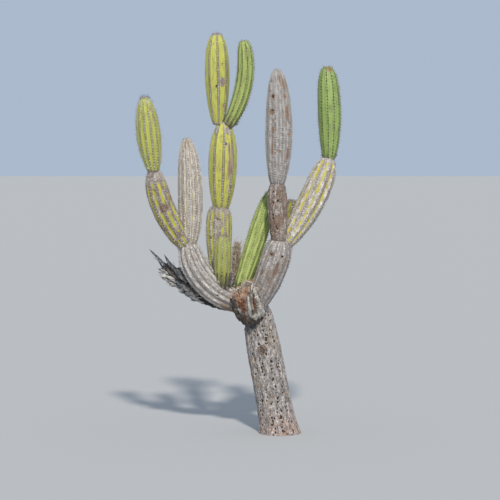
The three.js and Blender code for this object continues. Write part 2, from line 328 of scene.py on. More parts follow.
def run_tree(name, tree, start, values):
    """Runs a node tree on a start mesh with its inputs set, and gives back a plain mesh object."""
    carrier = placed(name + " carrier", start)
    modifier = carrier.modifiers.new("nodes", "NODES")
    modifier.node_group = tree
    for item in tree.interface.items_tree:
        if item.in_out == "INPUT" and item.name in values:
            modifier[item.identifier] = values[item.name]
    evaluated = carrier.evaluated_get(bpy.context.evaluated_depsgraph_get())
    mesh = bpy.data.meshes.new_from_object(evaluated)
    mesh.name = name
    carrier.modifiers.remove(modifier)
    bpy.data.objects.remove(carrier)
    return placed(name, mesh)


def ribbed_limb(name, finish, columns=12, ring_gap=0.003, **sizes):
    """A limb with its skin, which has columns of points for each rib and rings that far apart."""
    limb = new_limb(name, **sizes)
    _, right, rear = directions(limb, np.linspace(0, 1, LINE_STEPS + 1))
    start = bpy.data.meshes.new(name + " line")
    start.from_pydata(limb.line.tolist(), [(i, i + 1) for i in range(LINE_STEPS)], [])
    for side, rows in (("right", right), ("rear", rear)):
        start.attributes.new(side, "FLOAT_VECTOR", "POINT").data.foreach_set("vector", rows.ravel())
    limb.piece = run_tree(name + "_skin", LIMB_TREE, start, {
        **vars(limb), "turn": math.radians(limb.turn), "swell": 2 * limb.flare / limb.girth,
        "seed": float(len(grown)), "around": limb.ribs * columns + 1, "rings": int(limb.length / ring_gap),
        "finish": finish})
    return limb


def skin_places(limb):
    """Where each point of a limb's skin lies: its angle, its metres up the limb, its place and middle."""
    mesh = limb.piece.data
    corner = np.empty(len(mesh.loops), int)
    mesh.loops.foreach_get("vertex_index", corner)
    skin = np.empty(2 * len(mesh.loops))
    mesh.attributes["skin"].data.foreach_get("vector", skin)
    laid = np.empty((len(mesh.vertices), 2))
    laid[corner] = skin.reshape(-1, 2)
    place = np.empty(3 * len(mesh.vertices))
    mesh.vertices.foreach_get("co", place)
    angle = math.tau * laid[:, 0] / limb.ribs + math.radians(limb.turn)
    return angle, laid[:, 1], place.reshape(-1, 3), on_line(limb, laid[:, 1] / limb.length)


def reshape(limb, place, kind=None, amount=None):
    """Moves the points of a limb's skin, and writes how much each has of a kind of mark."""
    mesh = limb.piece.data
    mesh.vertices.foreach_set("co", place.ravel())
    if kind:
        mesh.attributes.new(kind, "FLOAT", "POINT").data.foreach_set("value", amount)
    mesh.update()


def press(limb, kind, spots):
    """Presses spots into a limb's skin, or raises them, and writes where they lie as an attribute.

    A spot has its degrees to the right of the limb's front, its metres up the limb, its half
    width, its half height and its depth, all in metres.
    """
    angle, metres, place, middle = skin_places(limb)
    out = place - middle
    radius = np.linalg.norm(out, axis=1)
    amount = np.zeros(len(place))
    sink = np.zeros(len(place))
    for degrees, up, wide, tall, depth in spots:
        turned = (angle - math.radians(degrees - 90) + math.pi) % math.tau - math.pi
        here = np.clip(1.5 - np.hypot(turned * radius / wide, (metres - up) / tall), 0, 1)
        here = here * here * (3 - 2 * here)
        amount = np.maximum(amount, here)
        sink = np.where(np.abs(here * depth) > np.abs(sink), here * depth, sink)
    place = place - out / np.maximum(radius, 1e-4)[:, None] * np.minimum(sink, radius * 0.6)[:, None]
    reshape(limb, place, kind, amount)


def scattered(limb, count, seed, size, depth):
    """Spots strewn over a limb at random, on the sides of its ribs and in its furrows."""
    random = np.random.default_rng(seed)
    spots = []
    for _ in range(count):
        rib = random.integers(limb.ribs) + random.normal(0.5, 0.16)
        degrees = 360 * rib / limb.ribs + limb.turn + 90
        up = limb.length * random.uniform(0.02, 0.97)
        wide = size * random.uniform(0.5, 1.25)
        spots.append((degrees, up, wide, wide * random.uniform(0.8, 1.6), depth * random.uniform(0.5, 1.2)))
    return spots


def paint(tone):
    """A colour as a shader reads it, from its six-digit screen tone."""
    parts = [int(tone[i:i + 2], 16) / 255 for i in (0, 2, 4)]
    return (*(p / 12.92 if p <= 0.04045 else ((p + 0.055) / 1.055) ** 2.4 for p in parts), 1)


class Finish(Wiring):
    """The wiring of a new material. A colour is a value, or a tone by its six digits."""

    def __init__(self, name):
        self.material = bpy.data.materials.new(name)
        self.material.use_nodes = True
        super().__init__(self.material.node_tree)
        self.shader = self.tree.nodes["Principled BSDF"].inputs

    def mix(self, factor, a, b):
        """Colour a where the factor is 0, and b where it is 1."""
        a, b = (paint(colour) if isinstance(colour, str) else colour for colour in (a, b))
        return self.node("ShaderNodeMix", {0: factor, 6: a, 7: b}, output=2, data_type="RGBA")

    def lay(self, a, b, value, low, high, most=1.0):
        """Lays colour b over colour a as the value goes from low to high."""
        return self.mix(self.span(value, low, high, 0.0, most), a, b)

    def place(self):
        return self.node("ShaderNodeTexCoord", output=3)

    def skin(self, stretch=(1.0, 1.0, 1.0), shift=(0.0, 0.0, 0.0)):
        """The place on a limb's skin: ribs round it and metres up it."""
        laid = self.node("ShaderNodeUVMap", uv_map="skin")
        return self.vector("MULTIPLY", self.vector("ADD", laid, shift), stretch)

    def measure(self, name):
        """A number that the mesh carries at each point."""
        return self.node("ShaderNodeAttribute", output=2, attribute_name=name)

    def finished(self, colour, roughness, height, distance, strength):
        """Joins the colour and a fine relief to the shader, and gives back the material."""
        bump = self.node("ShaderNodeBump", {"Height": height, "Distance": distance, "Strength": strength})
        self.tree.links.new(colour.socket, self.shader["Base Color"])
        self.tree.links.new(bump.socket, self.shader["Normal"])
        self.shader["Roughness"].default_value = roughness
        self.shader["Specular IOR Level"].default_value = 0.3
        return self.material


def bark_finish():
    """Old grey bark: pale scales, dark cracks and pits, a knot, tan stains and orange lichens."""
    w = Finish("grey bark")
    place = w.place()
    long_grain = w.noise(w.skin((1.0, 9.0, 1.0)), 0.35, 5.0, 0.7)
    fine = w.noise(place, 0.006, 4.0, 0.7)
    mottle = w.noise(place, 0.018, 4.0, 0.7)
    scales = fine * 0.5 + long_grain * 0.5
    colour = w.lay("625b5a", "b0aaa6", scales, 0.40, 0.53)
    colour = w.lay(colour, "e6e1db", scales, 0.52, 0.60, 0.9)
    colour = w.lay(colour, "8d8584", mottle, 0.52, 0.68, 0.5)
    colour = w.lay(colour, "ab9983", w.noise(place, 0.09), 0.50, 0.64, 0.45)

    # The foot is rosy where soil has splashed it, and lichens grow in orange flecks.
    low = w.parts(place)[2]
    colour = w.mix(w.span(low, 0.16, 0.0) * w.span(mottle, 0.42, 0.58) * 0.6, colour, "b08069")
    specks = w.noise(w.vector("ADD", place, (3.1, 0.7, 0.2)), 0.016, 2.0, 0.5)
    lichen = specks + w.span(low, 0.22, 0.0, 0.0, 0.03)
    colour = w.lay(colour, "bd7d4c", lichen, 0.69, 0.75, 0.8)
    colour = w.lay(colour, "544c49", w.measure("crack"), 0.35, 1.0, 0.7)

    # Brown rings round the knot, and over the edge of the bark the bare wood, painted dark bluish grey
    # for the shade that the stub and arms cast on it.
    knot = w.measure("knot") + (mottle - 0.5) * 1.3
    rings = w.lay("43352d", "94806f", w.math("SINE", knot * 11.0), -0.4, 0.4)
    colour = w.lay(colour, rings, knot, 0.15, 0.4, 0.9)
    colour = w.lay(colour, w.lay("4d4c50", "85868b", scales, 0.40, 0.60), w.measure("bare"), 0.3, 0.7)
    pit = w.measure("pit")
    rim = w.span(pit, 0.02, 0.15) * w.span(pit, 0.45, 0.2)
    colour = w.mix(rim * 0.45, colour, "cdc6bf")
    colour = w.lay(colour, w.lay("2e2725", "54402f", mottle, 0.4, 0.6), pit, 0.35, 0.85)
    return w.finished(colour, 0.92, fine + long_grain * 0.8, 0.005, 0.9)


def shed_bark(limb):
    """Sinks the top of the trunk in by the thickness of the bark that has dropped off it.

    The bark ends in a torn edge, which rises to one side.
    """
    angle, metres, place, middle = skin_places(limb)
    teeth = np.array([
        noise.fractal(Vector((math.cos(a) * 3, math.sin(a) * 3, 0)), 0.6, 2.0, 5) for a in angle])
    edge = BARK_EDGE + BARK_EDGE_RISE * np.cos(angle - BARK_EDGE_HIGHEST) + BARK_EDGE_TEETH * teeth
    share = np.clip((metres - edge) / BARK_EDGE_SLOPE, 0, 1)
    out = place - middle
    out /= np.maximum(np.linalg.norm(out, axis=1), 1e-4)[:, None]
    reshape(limb, place - out * (share * BARK_THICKNESS)[:, None], "bare", share)


def cut_at_ground(piece):
    """Cuts a piece flat where it meets the ground, and closes the cut."""
    shape = bmesh.new()
    shape.from_mesh(piece.data)
    every = shape.verts[:] + shape.edges[:] + shape.faces[:]
    cut = bmesh.ops.bisect_plane(shape, geom=every, plane_co=(0, 0, 0), plane_no=(0, 0, 1), clear_inner=True)
    rim = [part for part in cut["geom_cut"] if isinstance(part, bmesh.types.BMEdge)]
    bmesh.ops.holes_fill(shape, edges=rim, sides=len(rim) + 1)
    shape.to_mesh(piece.data)
    shape.free()


def seat(piece, slot, *nodes):
    """Attaches a piece to the root body and hides the nodes that it replaces. The slot is not used."""
    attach(piece, "root")
    if nodes:
        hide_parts(*nodes)


trunk = ribbed_limb(
    "trunk", bark_finish(), 20, 0.0022, length=0.770, buried=0.040, lean=(-10, -11), back=(0, 1), girth=0.176,
    neck=0.188, widest=0.3, foot=1.0, crown=3.2, ribs=12, groove=0.05, flare=0.014, swell_height=0.045,
    fissure=0.0028, fissure_width=0.017, lump=0.009, lump_width=0.035,
)
shed_bark(trunk)
press(trunk, "pit", scattered(trunk, count=640, seed=5, size=0.0044, depth=0.006)
      + scattered(trunk, count=26, seed=6, size=0.0058, depth=0.008))
press(trunk, "knot", [(-6, 0.475, 0.020, 0.021, 0.002)])
cut_at_ground(trunk.piece)
seat(trunk.piece, "bark", "trunk")

# Left arms: the old elbow that carries the left and centre arms is grey cork with worn ribs. On it
# stand a short thick joint with a sharp yellow stripe of living skin in each furrow, young growth
# over that, and a straight arm that is all corked over, with rows of white dots.
CUSHION_STEP = USUAL["spacing"]


def skin_finish(name, cork, flesh=("b5b03f", "c2ba48", "8d9632"), cork_width=0.6, ragged=0.5, gaps=1.0,
                patches=0.8, foot_cork=0.0, top_cork=2.0, furrow=None, furrow_shade=0.1, furrow_dark=0.5,
                brown_share=0.5, flecks=1.0, band=("5e4e48", 0.07), line=("6d7836", 0.0),
                dot=("e6e1da", 0.26), wool=("5b4a45", 0.985), rusty=("6a4a38", "b08f6c"), rib_width=0.03,
                crackle=1.0, edge=0.55, dashes=0.0, roughness=0.9, seed=0.0):
    """The skin of an arm: living flesh, the cork that spreads over it, and felt along its ribs.

    cork has its own tone, and its dark, bright and brown ones. flesh has two tones and a darker one,
    which mottles it and paints shade in its furrows.
    Widths across a rib are shares of its whole width: cork spreads from each crest by cork_width,
    0.5 being the furrow. gaps, patches, brown_share and flecks are levels of noise, 0 everywhere
    and 1 nowhere: cork that bridges a furrow, cork patches, brown stains and flecks of flesh.
    band has the tone and width of the felt, line the tone and strength of the line of painted shade
    beside it, and dot the tone and size of the areoles. crackle is how dark the cork is between its
    chips, edge how dark the painted shadow beside the felt is, and dashes how strong the dashes are
    that run up it.
    foot_cork is metres of cork up from the foot. top_cork and the second of wool are shares of the
    arm: the cork of the top begins at the one, and the wool of the growing tip at the other.
    """
    w = Finish(name)
    pale, dark, white, brown = cork
    place = w.vector("ADD", w.place(), (seed, 0.3 * seed, 0.7 * seed))
    rib, metres, _ = w.parts(w.skin())
    off_crest = w.math("PINGPONG", rib, 0.5)
    fine = w.noise(place, 0.006, 4.0, 0.7)
    mottle = w.noise(place, 0.020, 4.0, 0.65)
    blotch = w.noise(place, 0.07, 3.0, 0.55)
    streak = w.noise(w.skin((1.0, 5.0, 1.0), (seed, seed, 0)), 0.3, 5.0, 0.7)
    beside = w.math("ABSOLUTE", off_crest - (band[1] + 0.035))
    share = w.measure("share")

    # Flesh: painted shade darkens the furrows, so the faces of the ribs are lighter, and a line of
    # painted shade runs at each side of the felt.
    body = w.lay(flesh[0], flesh[1], blotch, 0.35, 0.62)
    body = w.lay(body, flesh[2], off_crest, 0.25, 0.5, furrow_shade)
    body = w.lay(body, flesh[2], mottle, 0.5, 0.75, 0.12)
    body = w.mix(w.span(beside, 0.0, 0.055, line[1], 0.0), body, line[0])

    # Cork: cracked grey with bright chips, darker in the furrows, brown where it has worn through, and
    # a painted shadow beside the felt.
    crust = fine * 0.6 + mottle * 0.4
    bare = w.mix(w.span(crust, 0.41, 0.55, 1 - crackle), dark, pale)
    bare = w.lay(bare, white, crust, 0.54, 0.62, 0.85)
    bare = w.lay(bare, furrow or dark, off_crest, 0.2, 0.5, furrow_dark)
    bare = w.lay(bare, brown, streak * 0.5 + blotch * 0.5, brown_share, brown_share + 0.06, 0.8)
    shadow = w.span(beside, 0.0, 0.05, edge, 0.0) * w.span(streak, 0.42, 0.58, 1.0, 0.35)
    bare = w.mix(shadow, bare, dark)
    if dashes:
        dash = w.noise(w.skin((1.0, 4.0, 1.0), (seed, 2 * seed, 0)), 0.16, 2.0, 0.5)
        bare = w.lay(bare, dark, dash, 0.55, 0.61, dashes)
        bare = w.lay(bare, white, dash, 0.45, 0.39, dashes)
    wander = (mottle + fine - 1.0) * ragged
    torn = (mottle - 0.5) * 0.06
    cover = w.span(cork_width + wander - off_crest, -0.012, 0.012)
    for here in (w.span(blotch * 0.6 + mottle * 0.4, gaps, gaps + 0.02),
                 w.span(blotch * 0.4 + mottle * 0.6, patches, patches + 0.012),
                 w.span(metres + torn, foot_cork + 0.006, foot_cork - 0.006),
                 w.span(share + torn * 3.0, top_cork - 0.01, top_cork + 0.01),
                 w.span(w.measure("scar") + fine * 0.5, 0.7, 0.8)):
        cover = w.math("MAXIMUM", cover, here)
    cover = cover * (1.0 - w.span(mottle * w.span(off_crest, 0.2, 0.42), flecks, flecks + 0.02))
    colour = w.mix(cover, body, bare)

    # Felt: a dark band along each crest, with a pale areole dot at the top of each scallop.
    banded = w.lay(band[0], pale, fine, 0.46, 0.72, 0.4)
    colour = w.lay(colour, banded, off_crest + (fine - 0.5) * 0.08, band[1] + 0.012, band[1] - 0.012)
    step = w.math("PINGPONG", w.measure("areole"), 0.5) * CUSHION_STEP
    aside = off_crest * rib_width
    reach = w.span(mottle, 0.36, 0.62, 0.45 * dot[1] * CUSHION_STEP, 1.2 * dot[1] * CUSHION_STEP)
    colour = w.lay(colour, dot[0], w.math("SQRT", step * step + aside * aside) - reach, 0.0006, -0.0006)
    woolly = w.lay(wool[0], pale, fine, 0.4, 0.6)
    colour = w.lay(colour, woolly, share + torn * 0.4, wool[1] - 0.006, wool[1] + 0.003)
    colour = w.lay(colour, dark, w.measure("crack"), 0.4, 1.0, 0.5 * crackle)
    rust = w.measure("rust")
    rusted = w.span(rust + (crust - 0.5) * 3.0, 0.4, 0.7, 0.0, 0.85) * w.span(rust, 0.02, 0.2)
    colour = w.mix(rusted, colour, w.lay(rusty[0], rusty[1], fine, 0.35, 0.65))
    colour = w.lay(colour, "2b2320", w.measure("hole"), 0.35, 0.8)
    return w.finished(colour, roughness, (fine + mottle) * w.span(cover, 0.0, 1.0, 0.12, 1.0), 0.003, 0.6)


def arm(name, slot, finish, marks={}, **sizes):
    """Grows an arm, presses its marks into it and seats it."""
    limb = ribbed_limb(name, finish, **sizes)
    for kind, spots in marks.items():
        press(limb, kind, spots)
    seat(limb.piece, slot, name)


arm("left_lower_arm", "grey_skin", skin_finish(
    "grey cork", ("d7d0c9", "736c66", "f4f0eb", "a08873"), brown_share=0.57, furrow_dark=0.9,
    band=("9a8f86", 0.03), dot=("ece7e0", 0.10), crackle=0.8, dashes=0.2, rusty=("6b5a4e", "a3907c"),
), dict(
    scar=[(12, 0.42, 0.016, 0.030, 0), (30, 0.408, 0.012, 0.030, 0)],
    hole=[(-8, 0.215, 0.006, 0.007, 0.006)],
    rust=[(-38, 0.155, 0.010, 0.030, 0), (-60, 0.13, 0.012, 0.040, 0.002)],
), on="trunk", at=0.905, length=0.525, lean=(-87, -5), back=(-15, -9), girth=0.138, neck=0.088, widest=0.66,
    foot=1.5, crown=2.8, ribs=11, groove=0.13, furrow=0.7, fissure=0.0014, fissure_width=0.016, lump=0.005)

arm("left_middle_arm", "striped_skin", skin_finish(
    "left striped cork", ("b9aea4", "6a5f58", "dfdad3", "77604f"), ("bcb93a", "cac23f", "98a036"),
    cork_width=0.32, ragged=0.42, gaps=0.57, patches=0.63, foot_cork=0.03, top_cork=0.86, furrow_dark=0.2,
    brown_share=0.54, band=("695d56", 0.08), dot=("e6e1da", 0.14), rib_width=0.036, roughness=0.8,
    rusty=("5e4a3c", "94785f"),
), dict(
    scar=[(0, 0.25, 0.024, 0.030, 0.002), (62, 0.33, 0.014, 0.020, 0.001)],
    rust=[(2, 0.25, 0.016, 0.022, 0)],
), on="left_lower_arm", at=0.93, length=0.440, lean=(-41, -6), back=(-12, -11), girth=0.122, neck=0.046,
    widest=0.58, foot=1.9, crown=2.7, ribs=10, groove=0.12, turn=18, furrow=0.9, felt_groove=0.0006,
    scallop=0.0005, fissure=0.0014, fissure_width=0.014, lump=0.004)

arm("left_top_arm", "yellow_skin", skin_finish(
    "left yellow skin", ("b9afa6", "6f5f5a", "dfdad3", "8a6f58"), ("bcbd58", "b5ba5a", "869340"),
    cork_width=-0.3, foot_cork=0.012, band=("604c49", 0.10), line=("4c572a", 0.95), brown_share=0.6,
    dot=("e6e1da", 0.24), rib_width=0.029, roughness=0.55, rusty=("7a5a48", "b59a80"),
), dict(
    hole=[(14, 0.056, 0.004, 0.005, 0.003)],
    rust=[(32, 0.315, 0.006, 0.012, 0), (-28, 0.30, 0.005, 0.010, 0)],
), on="left_middle_arm", at=0.97, length=0.375, lean=(-8, -5), back=(-7, -4), girth=0.122, neck=0.046,
    widest=0.47, foot=1.5, crown=2.1, ribs=13, groove=0.07, turn=8, ring_gap=0.0028, felt_groove=0.0020,
    scallop=0.0004, lump=0.0015)

arm("left_grey_arm", "grey_skin", skin_finish(
    "old cork", ("d5cfc5", "6d665f", "f7f5f0", "b59e80"), brown_share=0.56, furrow="9c866c", furrow_dark=0.85,
    flecks=0.60, band=("62564d", 0.09), dot=("f4f1eb", 0.16), crackle=0.6, edge=0.95, dashes=0.35,
    rusty=("6e5f55", "a9967f"), seed=1.3,
), dict(
    rust=[(-76, 0.38, 0.006, 0.012, 0), (30, 0.18, 0.008, 0.030, 0), (-10, 0.50, 0.010, 0.020, 0),
          (20, 0.50, 0.006, 0.018, 0)],
), on="left_lower_arm", at=0.95, aside=(0.006, 0), length=0.535, lean=(3.4, -6.6), back=(3, 3), girth=0.126,
    neck=0.046, widest=0.38, foot=1.8, crown=2.4, ribs=13, groove=0.081, turn=-9, spacing=0.0128,
    felt_groove=0.0006, scallop=0.0008, fissure=0.0005, fissure_width=0.012, lump=0.0025)

# Right arms: a short stout elbow, worn grey-brown, carries a narrow brown neck of cork, pocked with
# holes, under the tall grey arm with its white dots and brown stains. Beside it a slanting arm with
# broken yellow stripes in its furrows ends in fresh green growth with dark dotted ribs.
arm("right_lower_arm", "grey_skin", skin_finish(
    "elbow cork", ("c2bab4", "5c5757", "eae6e1", "907f73"), brown_share=0.53, furrow_dark=0.6,
    band=("7d736c", 0.025), dot=("e6dfd6", 0.10), rib_width=0.038, crackle=0.65, rusty=("5e493f", "8f7968"),
    seed=4.4,
), dict(
    scar=[(14, 0.336, 0.016, 0.020, 0)],
    rust=[(-26, 0.283, 0.016, 0.014, 0.003), (-2, 0.158, 0.006, 0.008, 0.001), (-42, 0.180, 0.010, 0.016, 0),
          (14, 0.22, 0.012, 0.040, 0)],
    hole=[(-27, 0.281, 0.006, 0.005, 0.006), (24, 0.286, 0.006, 0.006, 0.006)],
), on="trunk", at=0.905, length=0.360, lean=(29, 13), back=(-10, -4), girth=0.146, neck=0.088, widest=0.62,
    foot=1.7, crown=3.0, ribs=12, groove=0.072, furrow=0.8, fissure=0.0012, fissure_width=0.016, lump=0.006,
    lump_width=0.035)

arm("right_middle_arm", "brown_skin", skin_finish(
    "brown cork", ("c0b4a9", "554a44", "ece6df", "80695a"), brown_share=0.47, band=("6d6159", 0.03),
    dot=("d5cdc3", 0.08), rib_width=0.031, rusty=("69503f", "9c8068"), seed=2.1,
), dict(
    rust=[(16, 0.238, 0.007, 0.022, 0), (-30, 0.200, 0.008, 0.010, 0.002), (5, 0.10, 0.007, 0.040, 0.002)],
    scar=[(-16, 0.287, 0.030, 0.010, 0), (-60, 0.26, 0.014, 0.030, 0)],
    hole=[(-28, 0.254, 0.005, 0.006, 0.006), (2, 0.209, 0.006, 0.005, 0.007),
          (-30, 0.200, 0.004, 0.004, 0.005), (-36, 0.140, 0.006, 0.005, 0.007),
          (-36, 0.123, 0.005, 0.005, 0.007), (-18, 0.082, 0.005, 0.005, 0.006),
          (-11, 0.072, 0.005, 0.006, 0.006)],
), on="right_lower_arm", at=0.96, aside=(-0.005, 0), length=0.300, lean=(-4, -1), back=(-5, -2), girth=0.099,
    neck=0.060, widest=0.5, foot=2.2, crown=4.0, ribs=10, groove=0.07, furrow=0.8, fissure=0.0022,
    fissure_width=0.014, lump=0.007, lump_width=0.03)

arm("right_top_arm", "grey_skin", skin_finish(
    "stained cork", ("bcb8b4", "6a615b", "dfdedb", "876a54"), brown_share=0.57, band=("4c4743", 0.075),
    dot=("f8f7f5", 0.16), rib_width=0.039, crackle=0.6, edge=1.0, dashes=0.22, rusty=("5e4636", "a07b58"),
    seed=3.7,
), dict(
    rust=[(-34, 0.364, 0.014, 0.017, 0.003), (-32, 0.440, 0.009, 0.013, 0.001), (62, 0.50, 0.007, 0.040, 0),
          (42, 0.355, 0.010, 0.040, 0), (-26, 0.320, 0.005, 0.010, 0), (-27, 0.273, 0.007, 0.024, 0),
          (-26, 0.238, 0.005, 0.011, 0), (-31, 0.200, 0.005, 0.016, 0), (-30, 0.170, 0.007, 0.018, 0),
          (4, 0.170, 0.008, 0.008, 0.001), (14, 0.525, 0.005, 0.034, 0), (36, 0.495, 0.006, 0.036, 0),
          (46, 0.254, 0.008, 0.010, 0), (34, 0.44, 0.008, 0.014, 0), (45, 0.158, 0.007, 0.040, 0)],
    hole=[(-32, 0.440, 0.006, 0.008, 0.007), (-34, 0.371, 0.006, 0.004, 0.003)],
), on="right_middle_arm", at=0.95, length=0.575, lean=(3.5, -3.7), back=(-2, -1), girth=0.138, neck=0.060,
    widest=0.4, foot=1.6, crown=2.3, ribs=11, groove=0.08, turn=-8, spacing=0.0122, felt_groove=0.0008,
    scallop=0.0010, fissure=0.0006, fissure_width=0.012, lump=0.004)

arm("right_outer_arm", "striped_skin", skin_finish(
    "right striped cork", ("cdc7c0", "807872", "f0ece6", "8d7a62"), ("c9be3c", "d2c43c", "a39a35"),
    cork_width=0.38, ragged=0.75, gaps=0.55, patches=0.60, foot_cork=0.02, top_cork=0.93, furrow_dark=0.15,
    brown_share=0.58, band=("7a716a", 0.06), dot=("e6e1da", 0.13), rib_width=0.040, roughness=0.8, seed=5.2,
), dict(
    rust=[(27, 0.44, 0.003, 0.050, 0.001), (25, 0.34, 0.003, 0.060, 0.001), (23, 0.25, 0.003, 0.040, 0.001)],
), on="right_lower_arm", at=0.9, aside=(0.017, 0), length=0.525, lean=(38.5, 17.5), back=(15, 18),
    girth=0.140, neck=0.048, widest=0.58, foot=1.6, crown=2.8, ribs=10, groove=0.13, furrow=0.9,
    felt_groove=0.0006, scallop=0.0006, fissure=0.0014, fissure_width=0.015, lump=0.003)

# What the skins of all the green arms have in common.
GREEN = dict(cork=("a79c8c", "5f5144", "dfdad3", "6f5a48"), cork_width=-0.3, patches=0.86, roughness=0.5)
arm("right_tip_arm", "green_skin", skin_finish(
    "fresh green skin", flesh=("96ab64", "8fa75e", "647f42"), foot_cork=0.010, band=("90a65e", 0.03),
    line=("62773f", 0.1), dot=("463b30", 0.16), rib_width=0.032, wool=("8a7355", 0.992), **GREEN,
), dict(
    rust=[(24, 0.461, 0.018, 0.014, 0)],
), on="right_outer_arm", at=0.97, aside=(0.005, 0), length=0.480, lean=(2.6, -5.2), back=(6, 2), girth=0.118,
    neck=0.042, widest=0.5, foot=1.65, crown=2.7, ribs=11, groove=0.048, turn=-2, spacing=0.0155,
    ring_gap=0.0028, felt_groove=0.0006, scallop=0.0014, lump=0.0010)

# Centre arms: three joints one over the other. The lowest is greying over, the two above it are
# yellow, and a narrow fresh green arm stands beside the highest.
arm("centre_lower_arm", "striped_skin", skin_finish(
    "centre striped cork", ("bdb4a8", "776c62", "e0dad1", "8e7a62"), ("b4b74a", "bdbb4a", "95a03c"),
    cork_width=0.25, ragged=0.45, gaps=0.58, patches=0.61, foot_cork=0.10, top_cork=0.94, furrow_dark=0.3,
    brown_share=0.58, band=("5d544c", 0.07), dot=("e6e1da", 0.15), rib_width=0.028, roughness=0.8, seed=6.6,
), dict(
    scar=[(-10, 0.34, 0.024, 0.075, 0.002), (30, 0.315, 0.014, 0.012, 0.001)],
    hole=[(-8, 0.400, 0.004, 0.005, 0.004), (4, 0.400, 0.004, 0.005, 0.004),
          (-40, 0.300, 0.004, 0.006, 0.004)],
), on="left_lower_arm", at=0.35, length=0.461, lean=(-6, 2.2), back=(33, -3), girth=0.134, neck=0.048,
    widest=0.68, foot=1.3, crown=4.4, ribs=15, groove=0.072, turn=11, columns=10, furrow=0.9,
    felt_groove=0.0006, scallop=0.0004, fissure=0.0008, lump=0.003)

# What the skins of the two yellow joints have in common.
YELLOW = dict(cork_width=-0.3, furrow_shade=0.0, dot=("e6e1da", 0.22), rib_width=0.050, roughness=0.5)
arm("centre_middle_arm", "yellow_skin", skin_finish(
    "centre yellow skin", ("bfb4ad", "776660", "dfdad3", "b08c68"), ("c5c25f", "c0bf5f", "87933f"),
    foot_cork=0.020, top_cork=0.965, brown_share=0.56, band=("685350", 0.07), line=("414d26", 1.0), **YELLOW,
), dict(
    scar=[(-46, 0.405, 0.016, 0.020, 0), (28, 0.405, 0.014, 0.020, 0), (14, 0.339, 0.008, 0.009, 0.002),
          (-10, 0.212, 0.004, 0.010, 0.001), (29, 0.31, 0.007, 0.040, 0.001), (31, 0.22, 0.009, 0.060, 0.001),
          (38, 0.13, 0.006, 0.040, 0.001)],
    rust=[(31, 0.23, 0.006, 0.055, 0), (29, 0.32, 0.004, 0.030, 0)],
    hole=[(-42, 0.432, 0.005, 0.006, 0.005), (14, 0.339, 0.004, 0.005, 0.005),
          (-14, 0.154, 0.004, 0.004, 0.003)],
), on="centre_lower_arm", at=0.95, aside=(0.008, 0), length=0.455, lean=(2.6, 1.2), back=(1, 1), girth=0.148,
    neck=0.048, widest=0.52, foot=1.7, crown=2.2, ribs=9, groove=0.06, turn=-6, columns=18, ring_gap=0.0028,
    felt_groove=0.0030, scallop=0.0004, lump=0.002)

arm("centre_top_arm", "yellow_skin", skin_finish(
    "centre tip skin", ("b8adaa", "776660", "dfdad3", "a38874"), ("c3c25c", "bebf5d", "87933f"),
    foot_cork=0.014, brown_share=0.6, band=("6b5654", 0.07), line=("384420", 1.0), wool=("55424a", 0.972),
    **YELLOW,
), dict(
    scar=[(26, 0.216, 0.015, 0.024, 0.001), (-16, 0.408, 0.004, 0.005, 0.001),
          (42, 0.100, 0.009, 0.009, 0.002), (-68, 0.262, 0.004, 0.008, 0.001),
          (48, 0.185, 0.006, 0.020, 0.001)],
    hole=[(30, 0.308, 0.004, 0.004, 0.003), (-4, 0.196, 0.005, 0.008, 0.003),
          (46, 0.108, 0.004, 0.004, 0.004)],
    rust=[(48, 0.201, 0.007, 0.008, 0), (42, 0.096, 0.007, 0.006, 0)],
), on="centre_middle_arm", at=0.95, aside=(-0.028, 0.004), length=0.465, lean=(-1, -1), back=(0, 0),
    girth=0.126, neck=0.040, widest=0.53, foot=1.6, crown=2.5, ribs=8, groove=0.054, turn=5, columns=20,
    ring_gap=0.0028, felt_groove=0.0030, scallop=0.0004, lump=0.0015)

PALE_GREEN = skin_finish(
    "pale green skin", flesh=("abb96e", "a5b568", "738848"), foot_cork=0.012, furrow_shade=0.15,
    band=("8fa25e", 0.03), line=("6b7f45", 0.15), dot=("463b30", 0.17), rib_width=0.028,
    wool=("5b4a45", 0.994), **GREEN)
arm("centre_side_arm", "green_skin", PALE_GREEN, dict(
    rust=[(-22, 0.215, 0.006, 0.007, 0.001), (-32, 0.125, 0.005, 0.007, 0)],
), on="centre_middle_arm", at=0.95, aside=(0.020, -0.014), length=0.445, lean=(33, -12), back=(-5, -3),
    girth=0.087, neck=0.050, widest=0.5, foot=1.8, crown=3.2, ribs=10, groove=0.112, turn=-5, spacing=0.0150,
    ring_gap=0.0028, felt_groove=0.0008, scallop=0.0012, lump=0.001)

# Young arms at the fork: a short one in front of the centre arm, and a long slanting one behind it.
# Both grow out of the old elbow, and their waxy living skin has cork at the foot only.
arm("young_front_arm", "green_skin", skin_finish(
    "young skin", ("b3a89b", "7d7066", "cfc8be", "6b5545"), ("aaae52", "a3ab55", "788740"), cork_width=-0.3,
    patches=0.72, foot_cork=0.022, furrow_shade=0.3, band=("8e8e62", 0.05), line=("7c8740", 0.6),
    dot=("b5aa9c", 0.24), rib_width=0.023, roughness=0.6, seed=7.1,
), dict(
    rust=[(26, 0.212, 0.006, 0.012, 0.001), (-40, 0.225, 0.006, 0.006, 0.001)],
    hole=[(0, 0.193, 0.003, 0.006, 0.003), (0, 0.124, 0.005, 0.004, 0.003),
          (-40, 0.225, 0.003, 0.003, 0.003)],
), on="left_lower_arm", at=0.36, length=0.305, lean=(4, 0), back=(-14, -3), girth=0.090, neck=0.046,
    widest=0.62, foot=1.8, crown=2.5, ribs=12, groove=0.08, turn=-2, columns=10, ring_gap=0.0028,
    felt_groove=0.0006, scallop=0.0008, lump=0.0015)
arm("slanting_green_arm", "green_skin", PALE_GREEN,
    on="left_lower_arm", at=0.19, aside=(0, 0.025), length=0.600, lean=(20, 16), back=(20, 9), girth=0.104,
    neck=0.052, widest=0.6, foot=1.5, crown=2.2, ribs=11, groove=0.1275, turn=-2, spacing=0.0145,
    felt_groove=0.0006, scallop=0.0022, lump=0.0015)

